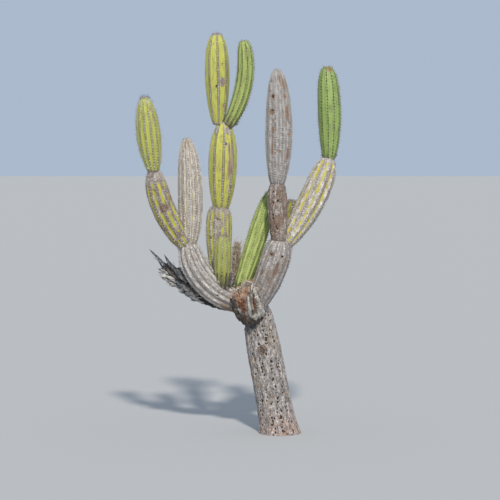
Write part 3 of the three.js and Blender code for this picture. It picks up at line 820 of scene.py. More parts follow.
# Back arms: a green arm that grows from the head of the trunk and slants out behind the fork, and
# the joint on its end, where cork spreads over olive skin.
arm("back_lower_arm", "green_skin", PALE_GREEN,
    on="trunk", at=0.934, aside=(0, 0.020), length=0.385, lean=(26, 27), back=(42, 14), girth=0.142,
    neck=0.060, widest=0.66, foot=1.5, crown=3.0, ribs=10, groove=0.14, scallop=0.0008, lump=0.002)
arm("back_upper_arm", "striped_skin", skin_finish(
    "olive striped cork", ("8f877c", "57504a", "b9b2a8", "75644f"), ("8f9140", "9b983c", "727c36"),
    cork_width=0.30, gaps=0.56, patches=0.60, foot_cork=0.02, top_cork=0.94, furrow_dark=0.3,
    brown_share=0.56, band=("4f4841", 0.07), dot=("c9c2b8", 0.15), rib_width=0.036, roughness=0.8, seed=8.8,
), on="back_lower_arm", at=0.95, length=0.225, lean=(20, 6), back=(13, 3), girth=0.104, neck=0.046,
    widest=0.55, foot=1.8, crown=2.8, ribs=9, groove=0.12, lump=0.002)

# Broken stub: the torn-off foot of a lost arm, bent up in front of the fork. Its skin has split
# into pale ridges over rusty dead wood, and its top is a ragged hollow rim of fibres.
RIM_TEETH = ((3, 1.0, 1.0), (7, 0.6, 0.0), (11, 0.4, 2.0))
RIM_HEIGHT = 0.013
HOLLOW_DEPTH = 0.034
RIM_FALL = 0.066
TORN_FROM = 0.4
TORN_PEAK = math.radians(-72)
# Columns of points round the stub, and rows up its wall, over its shoulder and down its hollow.
STUB_COLUMNS = 260
STUB_ROWS = (76, 44, 50)
# The wall is rough by this much at most: its splits, its lumps and its grit.
SPLIT_DEPTH = 0.0035
LUMP_HEIGHT = 0.0055
GRIT_HEIGHT = 0.0016
FRINGE_HEIGHT = 0.012
SHRED_HEIGHT = 0.014
STRAND_OUTLINE = ((0.0, 0.04), (0.08, 0.34), (0.3, 0.5), (0.55, 0.44), (0.75, 0.33), (0.9, 0.16), (1.0, 0.03))
STRAND_FLATNESS = 0.42


def fullness(away, power):
    """Falls from 1 at the widest place of a limb to 0 at its end."""
    return np.maximum(1 - away ** power, 0) ** (1 / power)


def crumple(places, size, seed):
    """Slow noise from -1 to 1 at each place."""
    shift = Vector((seed, 0, 0))
    return np.array([noise.fractal(Vector(place) / size + shift, 1.0, 2.0, 4) for place in places])


def plain_mesh(name, places, faces, finish):
    """A mesh object of these points and faces, smooth, in one finish."""
    mesh = bpy.data.meshes.new(name)
    mesh.from_pydata([tuple(place) for place in places], [], faces)
    mesh.shade_smooth()
    mesh.materials.append(finish)
    return placed(name, mesh)


def closed_rings(rows, columns):
    """Faces over rings of points that follow each other, with a middle point at each end."""
    beside = [(c, (c + 1) % columns) for c in range(columns)]
    faces = [(0, 1 + d, 1 + c) for c, d in beside]
    for low in range(1, 1 + (rows - 1) * columns, columns):
        high = low + columns
        faces += [(low + c, low + d, high + d, high + c) for c, d in beside]
    end = 1 + rows * columns
    last = end - columns
    return faces + [(last + c, last + d, end) for c, d in beside]


def torn_finish():
    """Torn wood: dark crumpled skin with pale ridges and crusts, and rusty wounds between them."""
    w = Finish("torn wood")
    place = w.place()
    fine = w.noise(place, 0.006, 4.0, 0.7)
    mottle = w.noise(place, 0.016, 5.0, 0.7)
    crust = fine * 0.5 + mottle * 0.5
    inside = w.lay("6b4d3c", "c6a58c", fine, 0.38, 0.6)
    colour = w.lay("473c36", "90847a", crust, 0.40, 0.58)
    colour = w.lay(colour, "c6beb2", crust, 0.55, 0.60, 0.8)
    colour = w.lay(colour, "b4aaa0", w.measure("fold"), 0.50, 0.85, 0.55)
    for kind, low, high, rough, tone in (
            ("shade", 0.3, 0.6, 1.4, w.lay("2f2926", "7d7167", crust, 0.43, 0.57)),
            ("crust", 0.35, 0.55, 3.0, w.lay("a39b8f", "dad5c9", crust, 0.42, 0.56)),
            ("rust", 0.3, 0.6, 2.4, w.lay("432b21", "936446", crust, 0.42, 0.58)),
            ("ridge", 0.35, 0.6, 2.6, w.lay("9e968c", "dbd6cd", fine, 0.4, 0.6)),
            ("lip", 0.3, 0.6, 1.4, "d18b5a"),
            ("rim", 0.3, 0.6, 1.4, w.lay("9c8673", "ddd2c4", fine, 0.4, 0.6)),
            ("peach", 0.3, 0.6, 1.4, inside)):
        level = w.measure(kind)
        marked = w.span(level + (crust - 0.5) * rough, low, high) * w.span(level, 0.02, 0.2)
        colour = w.mix(marked, colour, tone)
    colour = w.lay(colour, inside, w.measure("fibre"), 0.3, 0.6)
    colour = w.lay(colour, "2a211d", w.measure("hole"), 0.3, 0.9)
    return w.finished(colour, 0.9, mottle + fine, 0.006, 0.9)


def torn_stub(limb, finish):
    """The stub's skin, with a flat foot, split folds and a hollow top torn to a peak in front."""
    below = np.linspace(0, 1, STUB_ROWS[0])
    above = np.linspace(0, 0.9, STUB_ROWS[1])[1:]
    shares = np.linspace(fullness(0.9, limb.crown), 0, STUB_ROWS[2])[1:-1]
    widest, neck, girth = limb.widest, limb.neck / 2, limb.girth / 2
    t = np.concatenate([below * widest, widest + (1 - widest) * above,
                        widest + (1 - widest) * fullness(shares, limb.crown)])
    radius = np.concatenate([neck + (girth - neck) * fullness(1 - below, limb.foot),
                             girth * fullness(above, limb.crown), girth * shares])
    rim = girth * fullness((0.98 - widest) / (1 - widest), limb.crown)
    share = np.where(t > 0.98, radius / rim, 1.0)[:, None]
    near = np.maximum(0, (t - widest) / (1 - widest))[:, None]
    torn = np.maximum(0, (t - TORN_FROM) / (1 - TORN_FROM))[:, None]
    angle = np.linspace(0, math.tau, STUB_COLUMNS, endpoint=False)
    teeth = sum(height * np.sin(count * angle + start) for count, height, start in RIM_TEETH)
    fall = RIM_FALL * (1 - share * np.cos(2 * (angle - TORN_PEAK))) / 2
    slide = near ** 2 * (RIM_HEIGHT * teeth * share - HOLLOW_DEPTH * (1 - share) ** 2) - torn * fall
    along, right, rear = directions(limb, t)
    middle = on_line(limb, t)
    out = right[:, None] * np.cos(angle)[None, :, None] + rear[:, None] * np.sin(angle)[None, :, None]
    folds = 1 - limb.groove * (1 - np.cos(limb.ribs * angle)) / 2
    base = middle[:, None] + out * (radius[:, None] * folds)[:, :, None] + along[:, None] * slide[:, :, None]

    # Splits run up the stub, so their noise is drawn out along it.
    drawn = np.stack(np.broadcast_arrays(
        np.cos(angle)[None] * girth, np.sin(angle)[None] * girth, t[:, None] * limb.length * 0.35), -1)

    def rough(places, size, seed):
        return crumple(places.reshape(-1, 3), size, seed).reshape(len(t), -1)

    splits = rough(drawn, 0.017, 2.0)
    lumps = rough(base, 0.022, 5.0)
    shreds = rough(drawn, 0.005, 9.0)
    on_skin = np.clip(share, 0, 1) ** 2
    relief = SPLIT_DEPTH * splits + LUMP_HEIGHT * lumps + GRIT_HEIGHT * rough(base, 0.007, 7.0)
    relief = relief * on_skin * np.clip(t * 8, 0, 1)[:, None]
    lift = near ** 4 * share * FRINGE_HEIGHT * shreds + (1 - share) * SHRED_HEIGHT * shreds
    places = base + out * relief[:, :, None] + along[:, None] * lift[:, :, None]
    last = middle[-1:] - along[-1:] * (HOLLOW_DEPTH + RIM_FALL / 2)
    places = np.vstack([middle[:1], places.reshape(-1, 3), last])
    limb.piece = plain_mesh("broken_stub_skin", places, closed_rings(len(t), STUB_COLUMNS), finish)
    mesh = limb.piece.data

    def at_points(values):
        values = np.broadcast_to(values, (len(t), STUB_COLUMNS))
        return np.concatenate([values[0, :1], values.ravel(), values[-1, :1]])

    for kind, values in (
            ("fold", 0.5 + 0.6 * splits + 0.4 * lumps),
            ("hole", np.clip(-1.8 * splits - 0.75, 0, 1) * on_skin + 0.8 * (1 - share) ** 2),
            ("fibre", (1 - share) * 8),
            ("rim", np.clip((near - 0.86) * 16, 0, 1) * np.clip(share * 8 - 7, 0, 1))):
        level = at_points(np.clip(values, 0, 1))
        mesh.attributes.new(kind, "FLOAT", "POINT").data.foreach_set("value", level)
    corner = np.empty(len(mesh.loops), int)
    mesh.loops.foreach_get("vertex_index", corner)
    rib = at_points(angle * limb.ribs / math.tau)
    laid = np.stack([rib, at_points(t[:, None] * limb.length + slide)], -1)
    mesh.attributes.new("skin", "FLOAT2", "CORNER").data.foreach_set("vector", laid[corner].ravel())


stub = new_limb(
    "broken_stub", on="trunk", at=0.865, aside=(-0.032, 0), length=0.236, lean=(-36, 9), back=(-102, 26),
    girth=0.154, neck=0.090, widest=0.7, foot=2.2, crown=8.0, ribs=10, groove=0.07)
torn_stub(stub, torn_finish())
for kind, spots in dict(
    shade=[(-75, 0.13, 0.040, 0.060, 0), (-52, 0.09, 0.030, 0.050, 0.002), (-20, 0.070, 0.036, 0.034, 0.002),
           (14, 0.065, 0.030, 0.028, 0.001), (50, 0.01, 0.040, 0.040, 0), (0, 0.02, 0.080, 0.040, 0)],
    crust=[(60, 0.100, 0.034, 0.044, -0.002), (20, 0.108, 0.014, 0.016, -0.002),
           (100, 0.09, 0.040, 0.050, 0), (-150, 0.10, 0.040, 0.050, 0), (-36, 0.13, 0.008, 0.010, 0)],
    rust=[(-16, 0.155, 0.011, 0.022, 0.005), (-32, 0.152, 0.009, 0.012, 0.002),
          (29, 0.160, 0.006, 0.028, 0.006), (0, 0.198, 0.006, 0.008, 0.002),
          (-22, 0.112, 0.005, 0.012, 0.002), (140, 0.11, 0.020, 0.040, 0.003)],
    ridge=[(7, 0.152, 0.006, 0.036, -0.003), (4, 0.125, 0.007, 0.018, -0.003),
           (20, 0.215, 0.005, 0.012, -0.003), (30, 0.203, 0.005, 0.012, -0.003),
           (38, 0.190, 0.005, 0.013, -0.003), (46, 0.176, 0.006, 0.014, -0.003),
           (54, 0.160, 0.006, 0.016, -0.003), (62, 0.140, 0.007, 0.018, -0.003),
           (160, 0.13, 0.008, 0.040, -0.005), (-120, 0.10, 0.007, 0.040, -0.004)],
    lip=[(-34, 0.163, 0.014, 0.004, -0.002)],
    peach=[(-44, 0.172, 0.020, 0.010, 0), (-16, 0.186, 0.020, 0.012, 0), (0, 0.206, 0.016, 0.008, 0)],
).items():
    press(stub, kind, spots)
seat(stub.piece, "torn_wood", "broken_stub")


def unit(vector):
    return vector / np.linalg.norm(vector)


def woody_strand(start, ahead, aside, length, width, bend=0.0, sides=8):
    """Points and faces of one flat strand that bends aside as it tapers to its tip."""
    across = unit(np.cross(ahead, aside))
    thick = np.cross(across, ahead)
    turn = np.linspace(0, math.tau, sides, endpoint=False)
    places = [start[None]]
    for place, half in STRAND_OUTLINE:
        middle = start + ahead * length * place + aside * bend * length * place ** 2
        places.append(middle + width * half * (np.cos(turn)[:, None] * across
                                               + STRAND_FLATNESS * np.sin(turn)[:, None] * thick))
    places.append((start + ahead * length * 1.02 + aside * bend * length)[None])
    return np.vstack(places), closed_rings(len(STRAND_OUTLINE), sides)


def bundle(name, strands, finish):
    """Joins strands or plates, each with its own points and faces, to one piece."""
    places, faces = [], []
    first = 0
    for points, sides in strands:
        places.append(points)
        faces += [tuple(first + i for i in face) for face in sides]
        first += len(points)
    piece = plain_mesh(name, np.vstack(places), faces, finish)
    shape = bmesh.new()
    shape.from_mesh(piece.data)
    bmesh.ops.recalc_face_normals(shape, faces=shape.faces[:])
    shape.to_mesh(piece.data)
    shape.free()
    return piece


def strand_finish(name, pale, dark):
    """A split strand of wood, in plain tones that follow its grain."""
    w = Finish(name)
    grain = w.noise(w.vector("MULTIPLY", w.place(), (0.5, 1.0, 0.7)), 0.006, 4.0, 0.7)
    return w.finished(w.lay(dark, pale, grain, 0.4, 0.6), 0.9, grain, 0.002, 0.7)


def stub_fibres(limb, count, seed):
    """Fibres that stand up in the hollow of the stub, thickest along its back and left."""
    random = np.random.default_rng(seed)
    along, right, rear = directions(limb, 0.97)
    fibres = []
    for _ in range(count):
        turn = math.radians(random.uniform(60, 330))
        aside = right * math.cos(turn) + rear * math.sin(turn)
        off = limb.girth / 2 * random.uniform(0.45, 0.86)
        drop = RIM_FALL * (1 - math.cos(2 * (turn - TORN_PEAK))) / 2
        start = on_line(limb, 0.97) + aside * off - along * (drop + 0.024)
        sway = right * random.normal(0, 0.25) + rear * random.normal(0, 0.25)
        ahead = unit(along + sway - aside * 0.15)
        length = random.uniform(0.030, 0.060)
        fibres.append(woody_strand(start, ahead, aside, length, random.uniform(0.003, 0.007), sides=5))
    return fibres


seat(bundle("stub_fibres", stub_fibres(stub, count=150, seed=8),
            strand_finish("torn fibres", "d3b096", "7d5a45")), "torn_wood")

# Withered arm: a thin dried arm between the fork and the slanting green arm, twisted and sunk in
# between its ribs, with dry fibres all round it.
DENTS = ((2, 1.0, 0.0, 9.0), (3, 0.6, 0.0, -17.0))
DENT_DEPTH = 0.2


def dry_finish(name, pale, dark, brown, black_to=-1.0):
    """Dry dead wood: grey fibres along the limb, with dark splits and brown stains.

    It is near black from its foot to that share of its length: wood rotted black, with painted shade
    where the dead arm hangs under the elbow.
    """
    w = Finish(name)
    fibre = w.noise(w.skin((1.0, 7.0, 1.0)), 0.25, 5.0, 0.75)
    mottle = w.noise(w.place(), 0.015, 4.0, 0.7)
    colour = w.lay(dark, pale, fibre, 0.38, 0.60)
    colour = w.lay(colour, brown, mottle, 0.52, 0.66, 0.7)
    colour = w.lay(colour, "2c2825", w.measure("crack"), 0.3, 0.9, 0.8)
    # Near black towards the foot: rot, and painted shade under the elbow.
    black = w.span(w.measure("share") + (mottle - 0.5) * 0.3, black_to - 0.07, black_to + 0.07, 0.85, 0.0)
    colour = w.mix(black, colour, w.lay("2a2624", "4b4440", fibre, 0.4, 0.6))
    return w.finished(colour, 0.9, fibre + mottle, 0.003, 0.8)


def dry_limb(name, finish, **sizes):
    """Grows a dry limb, sinks it in unevenly along its length and seats it."""
    limb = ribbed_limb(name, finish, **sizes)
    angle, metres, place, middle = skin_places(limb)
    t = metres / limb.length
    dents = sum(height * np.sin(count * angle + start + turn * t) for count, height, start, turn in DENTS)
    reshape(limb, middle + (place - middle) * (1 - DENT_DEPTH * (1 + dents) / 2)[:, None])
    seat(limb.piece, "dry_wood", name)
    return limb


def round_limb(limb, t, turn):
    """Where a limb goes at a place t, and the way out of it, turned round it from its right."""
    along, right, rear = directions(limb, t)
    return along, right * math.cos(turn) + rear * math.sin(turn)


def splinters(limb, count, seed, low, high, side, spread, length, width, slant=0.5):
    """Short thin splinters that lie heaped on a dry limb, round it by spread degrees from one side."""
    random = np.random.default_rng(seed)
    heap = []
    for _ in range(count):
        t = random.uniform(low, high)
        along, aside = round_limb(limb, t, math.radians(side + random.uniform(-spread, spread) - 90))
        off = limb.girth * random.uniform(0.26, 0.42) * (1.15 - 3 * max(t - 0.8, 0))
        start = on_line(limb, t) + aside * off
        ahead = unit(along + 0.5 * aside * random.random() + np.cross(along, aside) * random.normal(0, slant))
        heap.append(woody_strand(start, ahead, aside, length * random.uniform(0.55, 1.45),
                                 width * random.uniform(0.55, 1.45), random.normal(0, 0.2), sides=5))
    return heap


withered = dry_limb(
    "withered_arm", dry_finish("dry wood", "c4b7a5", "786b5f", "978470"), on="trunk", at=0.934,
    aside=(-0.062, 0.030), length=0.315, lean=(-18, 8), back=(22, 8), girth=0.046, neck=0.026, widest=0.4,
    foot=1.6, crown=2.2, ribs=6, groove=0.42, fissure=0.002, fissure_width=0.012, lump=0.008, lump_width=0.03)
heap = splinters(
    withered, 130, seed=16, low=0.03, high=0.96, side=0, spread=180, length=0.046, width=0.0032, slant=0.6)
seat(bundle("withered_arm_fibres", heap, strand_finish("dry fibres", "d9cdba", "9d8d7b")), "dry_wood")

# Dead arm: a long dry husk that hangs out to the left under the living elbow, broken open at its
# end, where woody strands and curled plates of bark stand out.
GOLDEN_ANGLE = math.pi * (3 - math.sqrt(5))
STRAND_SEAT = 0.24
STRAND_STEP = 0.04
SHORT_STRAND = 0.7
# Each kind of strand: where it leaves the arm, how many, length, width, splay in degrees, and how
# many degrees round the arm the first one stands.
DEAD_STRANDS = (
    (0.90, 3, 0.125, 0.015, -15, 8), (0.84, 5, 0.085, 0.024, 20, 48), (0.62, 4, 0.090, 0.028, 13, 36),
)
# Plates of bark that curl off the arm: degrees to the right of its front, place up it, length,
# width, how far its end lifts and its turn from the arm's own direction in degrees.
BARK_PLATES = (
    (-66, 0.70, 0.085, 0.038, 0.018, 4), (-48, 0.80, 0.095, 0.036, 0.014, -6),
    (-84, 0.80, 0.070, 0.036, 0.016, 10), (-62, 0.50, 0.085, 0.034, 0.014, 7),
    (-86, 0.46, 0.075, 0.030, 0.010, -9), (-40, 0.56, 0.060, 0.030, 0.012, -4),
    (-30, 0.66, 0.070, 0.026, 0.010, 12), (-92, 0.62, 0.060, 0.026, 0.010, -8),
    (-10, 0.78, 0.070, 0.024, 0.010, -14), (24, 0.72, 0.075, 0.028, 0.012, 8),
    (60, 0.80, 0.070, 0.026, 0.014, -8), (100, 0.70, 0.080, 0.030, 0.014, 5),
    (150, 0.76, 0.080, 0.030, 0.016, -6), (-150, 0.72, 0.080, 0.030, 0.016, 7),
    (-120, 0.84, 0.060, 0.024, 0.014, -10),
)
PLATE_SEAT = 0.40
PLATE_CURL = 0.30
PLATE_WAVE = 0.004
PLATE_THICKNESS = 0.0022
PLATE_POINTS = 9


def dead_strands(limb):
    """The strands that stand out of the dead arm, spread round it by the golden angle."""
    strands = []
    for start_at, count, length, width, splay, first in DEAD_STRANDS:
        slope = math.radians(splay)
        for i in range(count):
            t = start_at + STRAND_STEP * (i % 3)
            along, aside = round_limb(limb, t, math.radians(first) + GOLDEN_ANGLE * i)
            start = on_line(limb, t) + aside * limb.girth * STRAND_SEAT
            ahead = along * math.cos(slope) + aside * math.sin(slope)
            strands.append(woody_strand(start, ahead, aside, length * (SHORT_STRAND if i % 2 else 1), width))
    return strands


def bark_plate(limb, degrees, at, length, width, lift, turned, seed):
    """A curled plate of bark on a limb: its sides bend in, and its far end lifts off the limb."""
    along, out = round_limb(limb, at, math.radians(degrees - 90))
    side = np.cross(along, out)
    swing = math.radians(turned)
    ahead = along * math.cos(swing) + side * math.sin(swing)
    side = side * math.cos(swing) - along * math.sin(swing)
    start = on_line(limb, at) + out * limb.girth * PLATE_SEAT
    steps = np.linspace(0, 1, PLATE_POINTS)
    across = np.linspace(-1, 1, PLATE_POINTS)
    ragged = np.array([[noise.noise(Vector((u * 2.1, v * 1.7, seed * 3.3))) for v in across] for u in steps])
    bow = lift * steps ** 2 + PLATE_WAVE * np.sin(steps * 9 + seed)
    wide = width / 2 * (0.72 + 0.28 * np.sin(math.pi * np.clip(steps * 1.1, 0, 1)) - 0.5 * steps ** 4)
    end = 1 + 0.16 * np.sin(across * 5 + seed * 2)
    rise = bow[:, None] - across[None, :] ** 2 * width * PLATE_CURL + PLATE_WAVE * ragged
    sheet = (start + ahead * (steps[:, None, None] * length * end[None, :, None])
             + side * (across[None, :, None] * wide[:, None, None]) + out * rise[:, :, None])
    both = np.vstack([sheet.reshape(-1, 3), (sheet - out * PLATE_THICKNESS).reshape(-1, 3)])
    number = np.arange(PLATE_POINTS ** 2).reshape(PLATE_POINTS, -1)
    under = number.size
    faces = []
    for a, b, c, d in zip(*(part.ravel().tolist() for part in (
            number[:-1, :-1], number[:-1, 1:], number[1:, 1:], number[1:, :-1]))):
        faces.append((a, b, c, d))
        faces.append((under + a, under + d, under + c, under + b))
    border = [*number[0], *number[1:, -1], *number[-1, -2::-1], *number[-2:0:-1, 0]]
    faces += [(b, a, under + a, under + b) for a, b in zip(border, border[1:] + border[:1])]
    return both, faces


def plate_finish():
    """A plate of dead bark: silvery, with brown stains and dark worn spots."""
    w = Finish("dead bark")
    fine = w.noise(w.place(), 0.005, 4.0, 0.7)
    colour = w.lay("8b8682", "dfdcd7", fine, 0.36, 0.60)
    colour = w.lay(colour, "7b6c60", w.noise(w.place(), 0.024), 0.53, 0.64, 0.75)
    colour = w.lay(colour, "4a4440", fine, 0.40, 0.32, 0.8)
    return w.finished(colour, 0.85, fine, 0.003, 0.7)


dead = dry_limb(
    "dead_arm", dry_finish("dead husk", "837e79", "2f2b29", "574a40", black_to=0.55), on="trunk", at=0.886,
    aside=(0, 0.020), length=0.530, lean=(-90, -41), back=(12, -4), girth=0.096, neck=0.056, widest=0.74,
    foot=1.6, crown=3.0, ribs=8, groove=0.3, columns=14, fissure=0.003, fissure_width=0.016, lump=0.018,
    lump_width=0.022)
seat(bundle("dead_arm_strands", dead_strands(dead),
            strand_finish("split strands", "cfccc8", "6b6663")), "dry_wood")
seat(bundle("dead_arm_plates", [bark_plate(dead, *plate, seed) for seed, plate in enumerate(BARK_PLATES)],
            plate_finish()), "dry_wood")
heap = splinters(dead, 80, seed=12, low=0.62, high=0.98, side=70, spread=115, length=0.032, width=0.0062)
seat(bundle("dead_arm_splinters", heap, strand_finish("grey splinters", "8a8d95", "3d3c41")), "dry_wood")

# Areoles: small felt cushions in rows along every rib, one at the top of each scallop. Each one
# grows a few spines. They fall from old cork, so the grey arms keep fewer and shorter ones.
CUSHION_FLATNESS = 0.55
CUSHION_STRETCH = 1.25
CUSHION_LIFT = 0.3
SPINE_TIP = 0.35
SPINE_SPLAY = math.radians(75)
# The rows close up over the dome of an arm, above that share of its length.
DOME_SHARE = 0.93
CROWDED = 0.8
# Areoles of the new growth within that many metres of the tip are smaller and lean up along it.
CROWN_HEIGHT = 0.032
CROWN_LEAN = 1.2
CROWN_SHRINK = 0.5
SHAGGY_REACH = 1.4


def cushion_tree():
    """Geometry nodes that set a felt cushion on each areole."""
    w, given = new_tree("felt cushions", Geometry="areoles", Float="flatness stretch", Material="finish")
    size = w.carried("size", "FLOAT")
    facing = w.node("FunctionNodeAlignRotationToVector", {"Vector": w.carried("outward")}, axis="Z")
    facing = w.node("FunctionNodeAlignRotationToVector", {"Rotation": facing, "Vector": w.carried("upward")},
                    axis="X", pivot_axis="Z")
    ball = w.node("GeometryNodeMeshIcoSphere", {"Radius": 1.0, "Subdivisions": 1})
    set_out = w.node("GeometryNodeInstanceOnPoints", {
        "Points": given.areoles, "Instance": w.node("GeometryNodeSetShadeSmooth", {"Geometry": ball}),
        "Rotation": facing, "Scale": w.joined(size * given.stretch, size, size * given.flatness)})
    return end_tree(w, set_out, given.finish)


def spine_tree():
    """Geometry nodes that grow a spray of spines from each areole."""
    w, given = new_tree(
        "spines", Geometry="areoles", Float="thickness splay", Int="each seed", Material="finish")
    copies = w.node("GeometryNodeDuplicateElements", {"Geometry": given.areoles, "Amount": given.each},
                    domain="POINT")

    def chance(low, high, turn):
        return w.node("FunctionNodeRandomValue", {2: low, 3: high, "Seed": given.seed + float(turn)}, 1,
                      data_type="FLOAT")

    facing = w.node("FunctionNodeAlignRotationToVector", {"Vector": w.carried("outward")}, axis="Z")
    for turned in (w.joined(0.0, 0.0, chance(0.0, math.tau, 1)),
                   w.joined(w.math("SQRT", chance(0.0, 1.0, 2)) * given.splay, 0.0, 0.0)):
        turned = w.node("FunctionNodeEulerToRotation", {0: turned})
        facing = w.node("FunctionNodeRotateRotation", {0: facing, 1: turned}, rotation_space="LOCAL")
    spine = w.node("GeometryNodeMeshCone", {
        "Vertices": 3, "Side Segments": 1, "Fill Segments": 1, "Radius Top": SPINE_TIP, "Radius Bottom": 1.0,
        "Depth": 1.0}, fill_type="NGON")
    length = w.carried("reach", "FLOAT") * chance(0.45, 1.0, 3)
    set_out = w.node("GeometryNodeInstanceOnPoints", {
        "Points": copies, "Instance": spine, "Rotation": facing,
        "Scale": w.joined(given.thickness, given.thickness, length)})
    return end_tree(w, set_out, given.finish)


def areoles(name, seed, size, reach, kept=1.0, crown_reach=2.0, shaggy=0.0, from_foot=0.02, up_to=9.0,
            uneven=0.3):
    """Rows of places for areoles along the crests of a limb's skin, from one height up to another.

    Each has a cushion of about that size and spines of about that reach, in metres, and kept is the
    share that hasn't fallen. The topmost ones, on the new growth, have longer spines by crown_reach,
    and the lowest ones too where the foot is shaggy up to that height.
    """
    random = np.random.default_rng(seed)
    limb = grown[name]
    angle, metres, place, middle = skin_places(limb)
    ribs = (angle - math.radians(limb.turn)) / math.tau * limb.ribs
    rows = []
    for rib in range(limb.ribs):
        on_rib = np.abs((ribs - rib + 0.5) % limb.ribs - 0.5) < 0.01
        order = np.argsort(metres[on_rib])
        up, crest = metres[on_rib][order], place[on_rib][order]
        steps = np.arange(math.ceil(from_foot / limb.spacing), int(limb.length / limb.spacing))
        heights = (steps + 1 - (rib * limb.stagger) % 1) * limb.spacing
        run = np.concatenate([[0], np.cumsum(np.linalg.norm(np.diff(crest, axis=0), axis=1))])
        dome = heights[heights < DOME_SHARE * limb.length][-1]
        gap = limb.spacing * CROWDED
        over = np.arange(np.interp(dome, up, run) + gap, run[-1] - 0.004, gap)
        heights = np.concatenate([heights[heights <= dome], np.interp(over, run, up)])
        heights = heights[((random.random(len(heights)) < kept) | (heights > dome)) & (heights < up_to)]
        spots = np.stack([np.interp(heights, up, axis) for axis in crest.T], -1)
        along = directions(limb, heights / limb.length)[0]
        out = spots - on_line(limb, heights / limb.length)
        out /= np.maximum(np.linalg.norm(out, axis=1), 1e-5)[:, None]
        crown = np.clip(1 - (limb.length - heights) / CROWN_HEIGHT, 0, 1)
        out = out + along * crown[:, None] * CROWN_LEAN
        out /= np.linalg.norm(out, axis=1)[:, None]
        foot = np.clip(1 - heights / shaggy, 0, 1) if shaggy else 0.0 * heights
        lengths = reach * (1 + crown * (crown_reach - 1) + foot * SHAGGY_REACH)
        sizes = size * random.uniform(1 - uneven, 1 + uneven, len(heights)) * (1 - CROWN_SHRINK * crown)
        lifted = spots + out * size * CUSHION_LIFT
        rows.append(np.hstack([lifted, out, along, sizes[:, None], lengths[:, None]]))
    return np.vstack(rows)


def plain_finish(name, tone, roughness=0.9):
    """One plain colour, for things too small to show any pattern."""
    finish = Finish(name)
    finish.shader["Base Color"].default_value = paint(tone)
    finish.shader["Roughness"].default_value = roughness
    return finish.material


CUSHIONS = cushion_tree()
SPINES = spine_tree()
PALE_FELT = plain_finish("pale felt", "efebe4", 1.0)
OLD_FELT = plain_finish("old felt", "dfdad1", 1.0)
BROWN_FELT = plain_finish("brown felt", "42372c", 1.0)
DARK_SPINE = plain_finish("dark spine", "544f4a", 0.6)
GREY_SPINE = plain_finish("grey spine", "8f877d", 0.6)
FOOT_SPINE = plain_finish("foot spine", "776f66", 0.6)
TAN_SPINE = plain_finish("tan spine", "8d8b68", 0.6)
DRY_SPINE = plain_finish("dry spine", "b8a791", 0.7)


def dress_areoles(name, slot, felt, horn, rows, seed, each=2, thickness=0.0008):
    """Sets the cushions and the spines of a group of arms, each kind joined to one piece.

    The start mesh has a loose point for each areole, with its facing, its size and its spines' reach.
    """
    rows = np.vstack(rows)
    start = bpy.data.meshes.new(name + " points")
    start.from_pydata(rows[:, :3].tolist(), [], [])
    for label, columns in (("outward", rows[:, 3:6]), ("upward", rows[:, 6:9])):
        start.attributes.new(label, "FLOAT_VECTOR", "POINT").data.foreach_set("vector", columns.ravel())
    for label, column in (("size", rows[:, 9]), ("reach", rows[:, 10])):
        start.attributes.new(label, "FLOAT", "POINT").data.foreach_set("value", column)
    seat(run_tree(name + "_felt", CUSHIONS, start, {
        "flatness": CUSHION_FLATNESS, "stretch": CUSHION_STRETCH, "finish": felt}), slot)
    seat(run_tree(name + "_spines", SPINES, start, {
        "thickness": thickness, "splay": SPINE_SPLAY, "each": each, "seed": seed, "finish": horn}), slot)


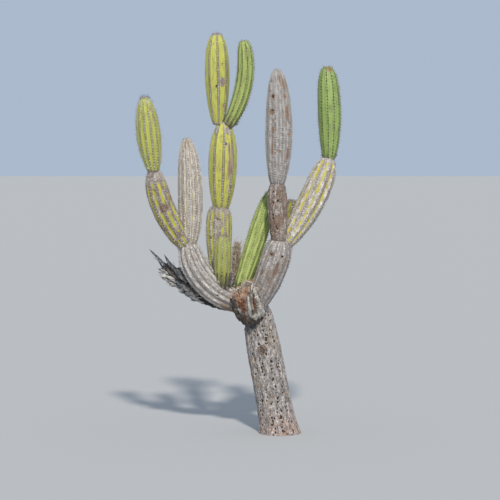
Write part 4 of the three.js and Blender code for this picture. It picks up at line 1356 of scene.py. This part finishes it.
dress_areoles("yellow_arms", "yellow_skin", PALE_FELT, DARK_SPINE, [
    areoles("left_top_arm", 21, 0.0030, 0.012, 0.92, crown_reach=1.8),
    areoles("centre_middle_arm", 22, 0.0032, 0.007, 0.85, crown_reach=1.5),
    areoles("centre_top_arm", 23, 0.0032, 0.007, 0.88, crown_reach=2.2),
], seed=2)
dress_areoles("green_arms", "green_skin", BROWN_FELT, TAN_SPINE, [
    areoles("centre_side_arm", 24, 0.0030, 0.016, crown_reach=1.0),
    areoles("right_tip_arm", 25, 0.0030, 0.015, crown_reach=1.2),
    areoles("slanting_green_arm", 27, 0.0021, 0.009, shaggy=0.15),
    areoles("back_lower_arm", 28, 0.0024, 0.010),
], seed=3)
dress_areoles("young_arm", "green_skin", OLD_FELT, GREY_SPINE, [
    areoles("young_front_arm", 26, 0.0022, 0.011),
], seed=6, each=4)
dress_areoles("foot", "green_skin", BROWN_FELT, FOOT_SPINE, [
    areoles("young_front_arm", 39, 0.0022, 0.015, shaggy=0.16, from_foot=0.005, up_to=0.12),
    areoles("slanting_green_arm", 40, 0.0022, 0.013, shaggy=0.16, from_foot=0.005, up_to=0.10),
    areoles("centre_side_arm", 41, 0.0022, 0.008, shaggy=0.10, from_foot=0.005, up_to=0.045),
    areoles("right_tip_arm", 42, 0.0024, 0.005, shaggy=0.10, from_foot=0.004, up_to=0.036),
], seed=8, each=14, thickness=0.0010)
dress_areoles("grey_arms", "grey_skin", OLD_FELT, GREY_SPINE, [
    areoles("left_middle_arm", 29, 0.0024, 0.009, 0.75, uneven=0.45),
    areoles("left_grey_arm", 30, 0.0031, 0.006, 0.9, uneven=0.35),
    areoles("right_top_arm", 31, 0.0029, 0.006, 0.9, crown_reach=1.5, uneven=0.35),
    areoles("right_outer_arm", 32, 0.0023, 0.009, 0.75, uneven=0.45),
    areoles("centre_lower_arm", 33, 0.0026, 0.007, 0.75, uneven=0.45),
    areoles("back_upper_arm", 34, 0.0026, 0.007, 0.8),
], seed=4)
dress_areoles("elbow_arms", "grey_skin", OLD_FELT, GREY_SPINE, [
    areoles("left_lower_arm", 35, 0.0018, 0.009, 0.4, crown_reach=1.0, from_foot=0.16, uneven=0.7),
    areoles("right_lower_arm", 36, 0.0018, 0.011, 0.45, crown_reach=1.0, from_foot=0.10, uneven=0.7),
    areoles("right_middle_arm", 37, 0.0016, 0.004, 0.25, crown_reach=1.0, uneven=0.7),
], seed=5, each=4, thickness=0.0009)
dress_areoles("withered_arm", "dry_wood", BROWN_FELT, DRY_SPINE, [
    areoles("withered_arm", 38, 0.0020, 0.022, crown_reach=0.8, from_foot=0.03),
], seed=7, each=8, thickness=0.0012)
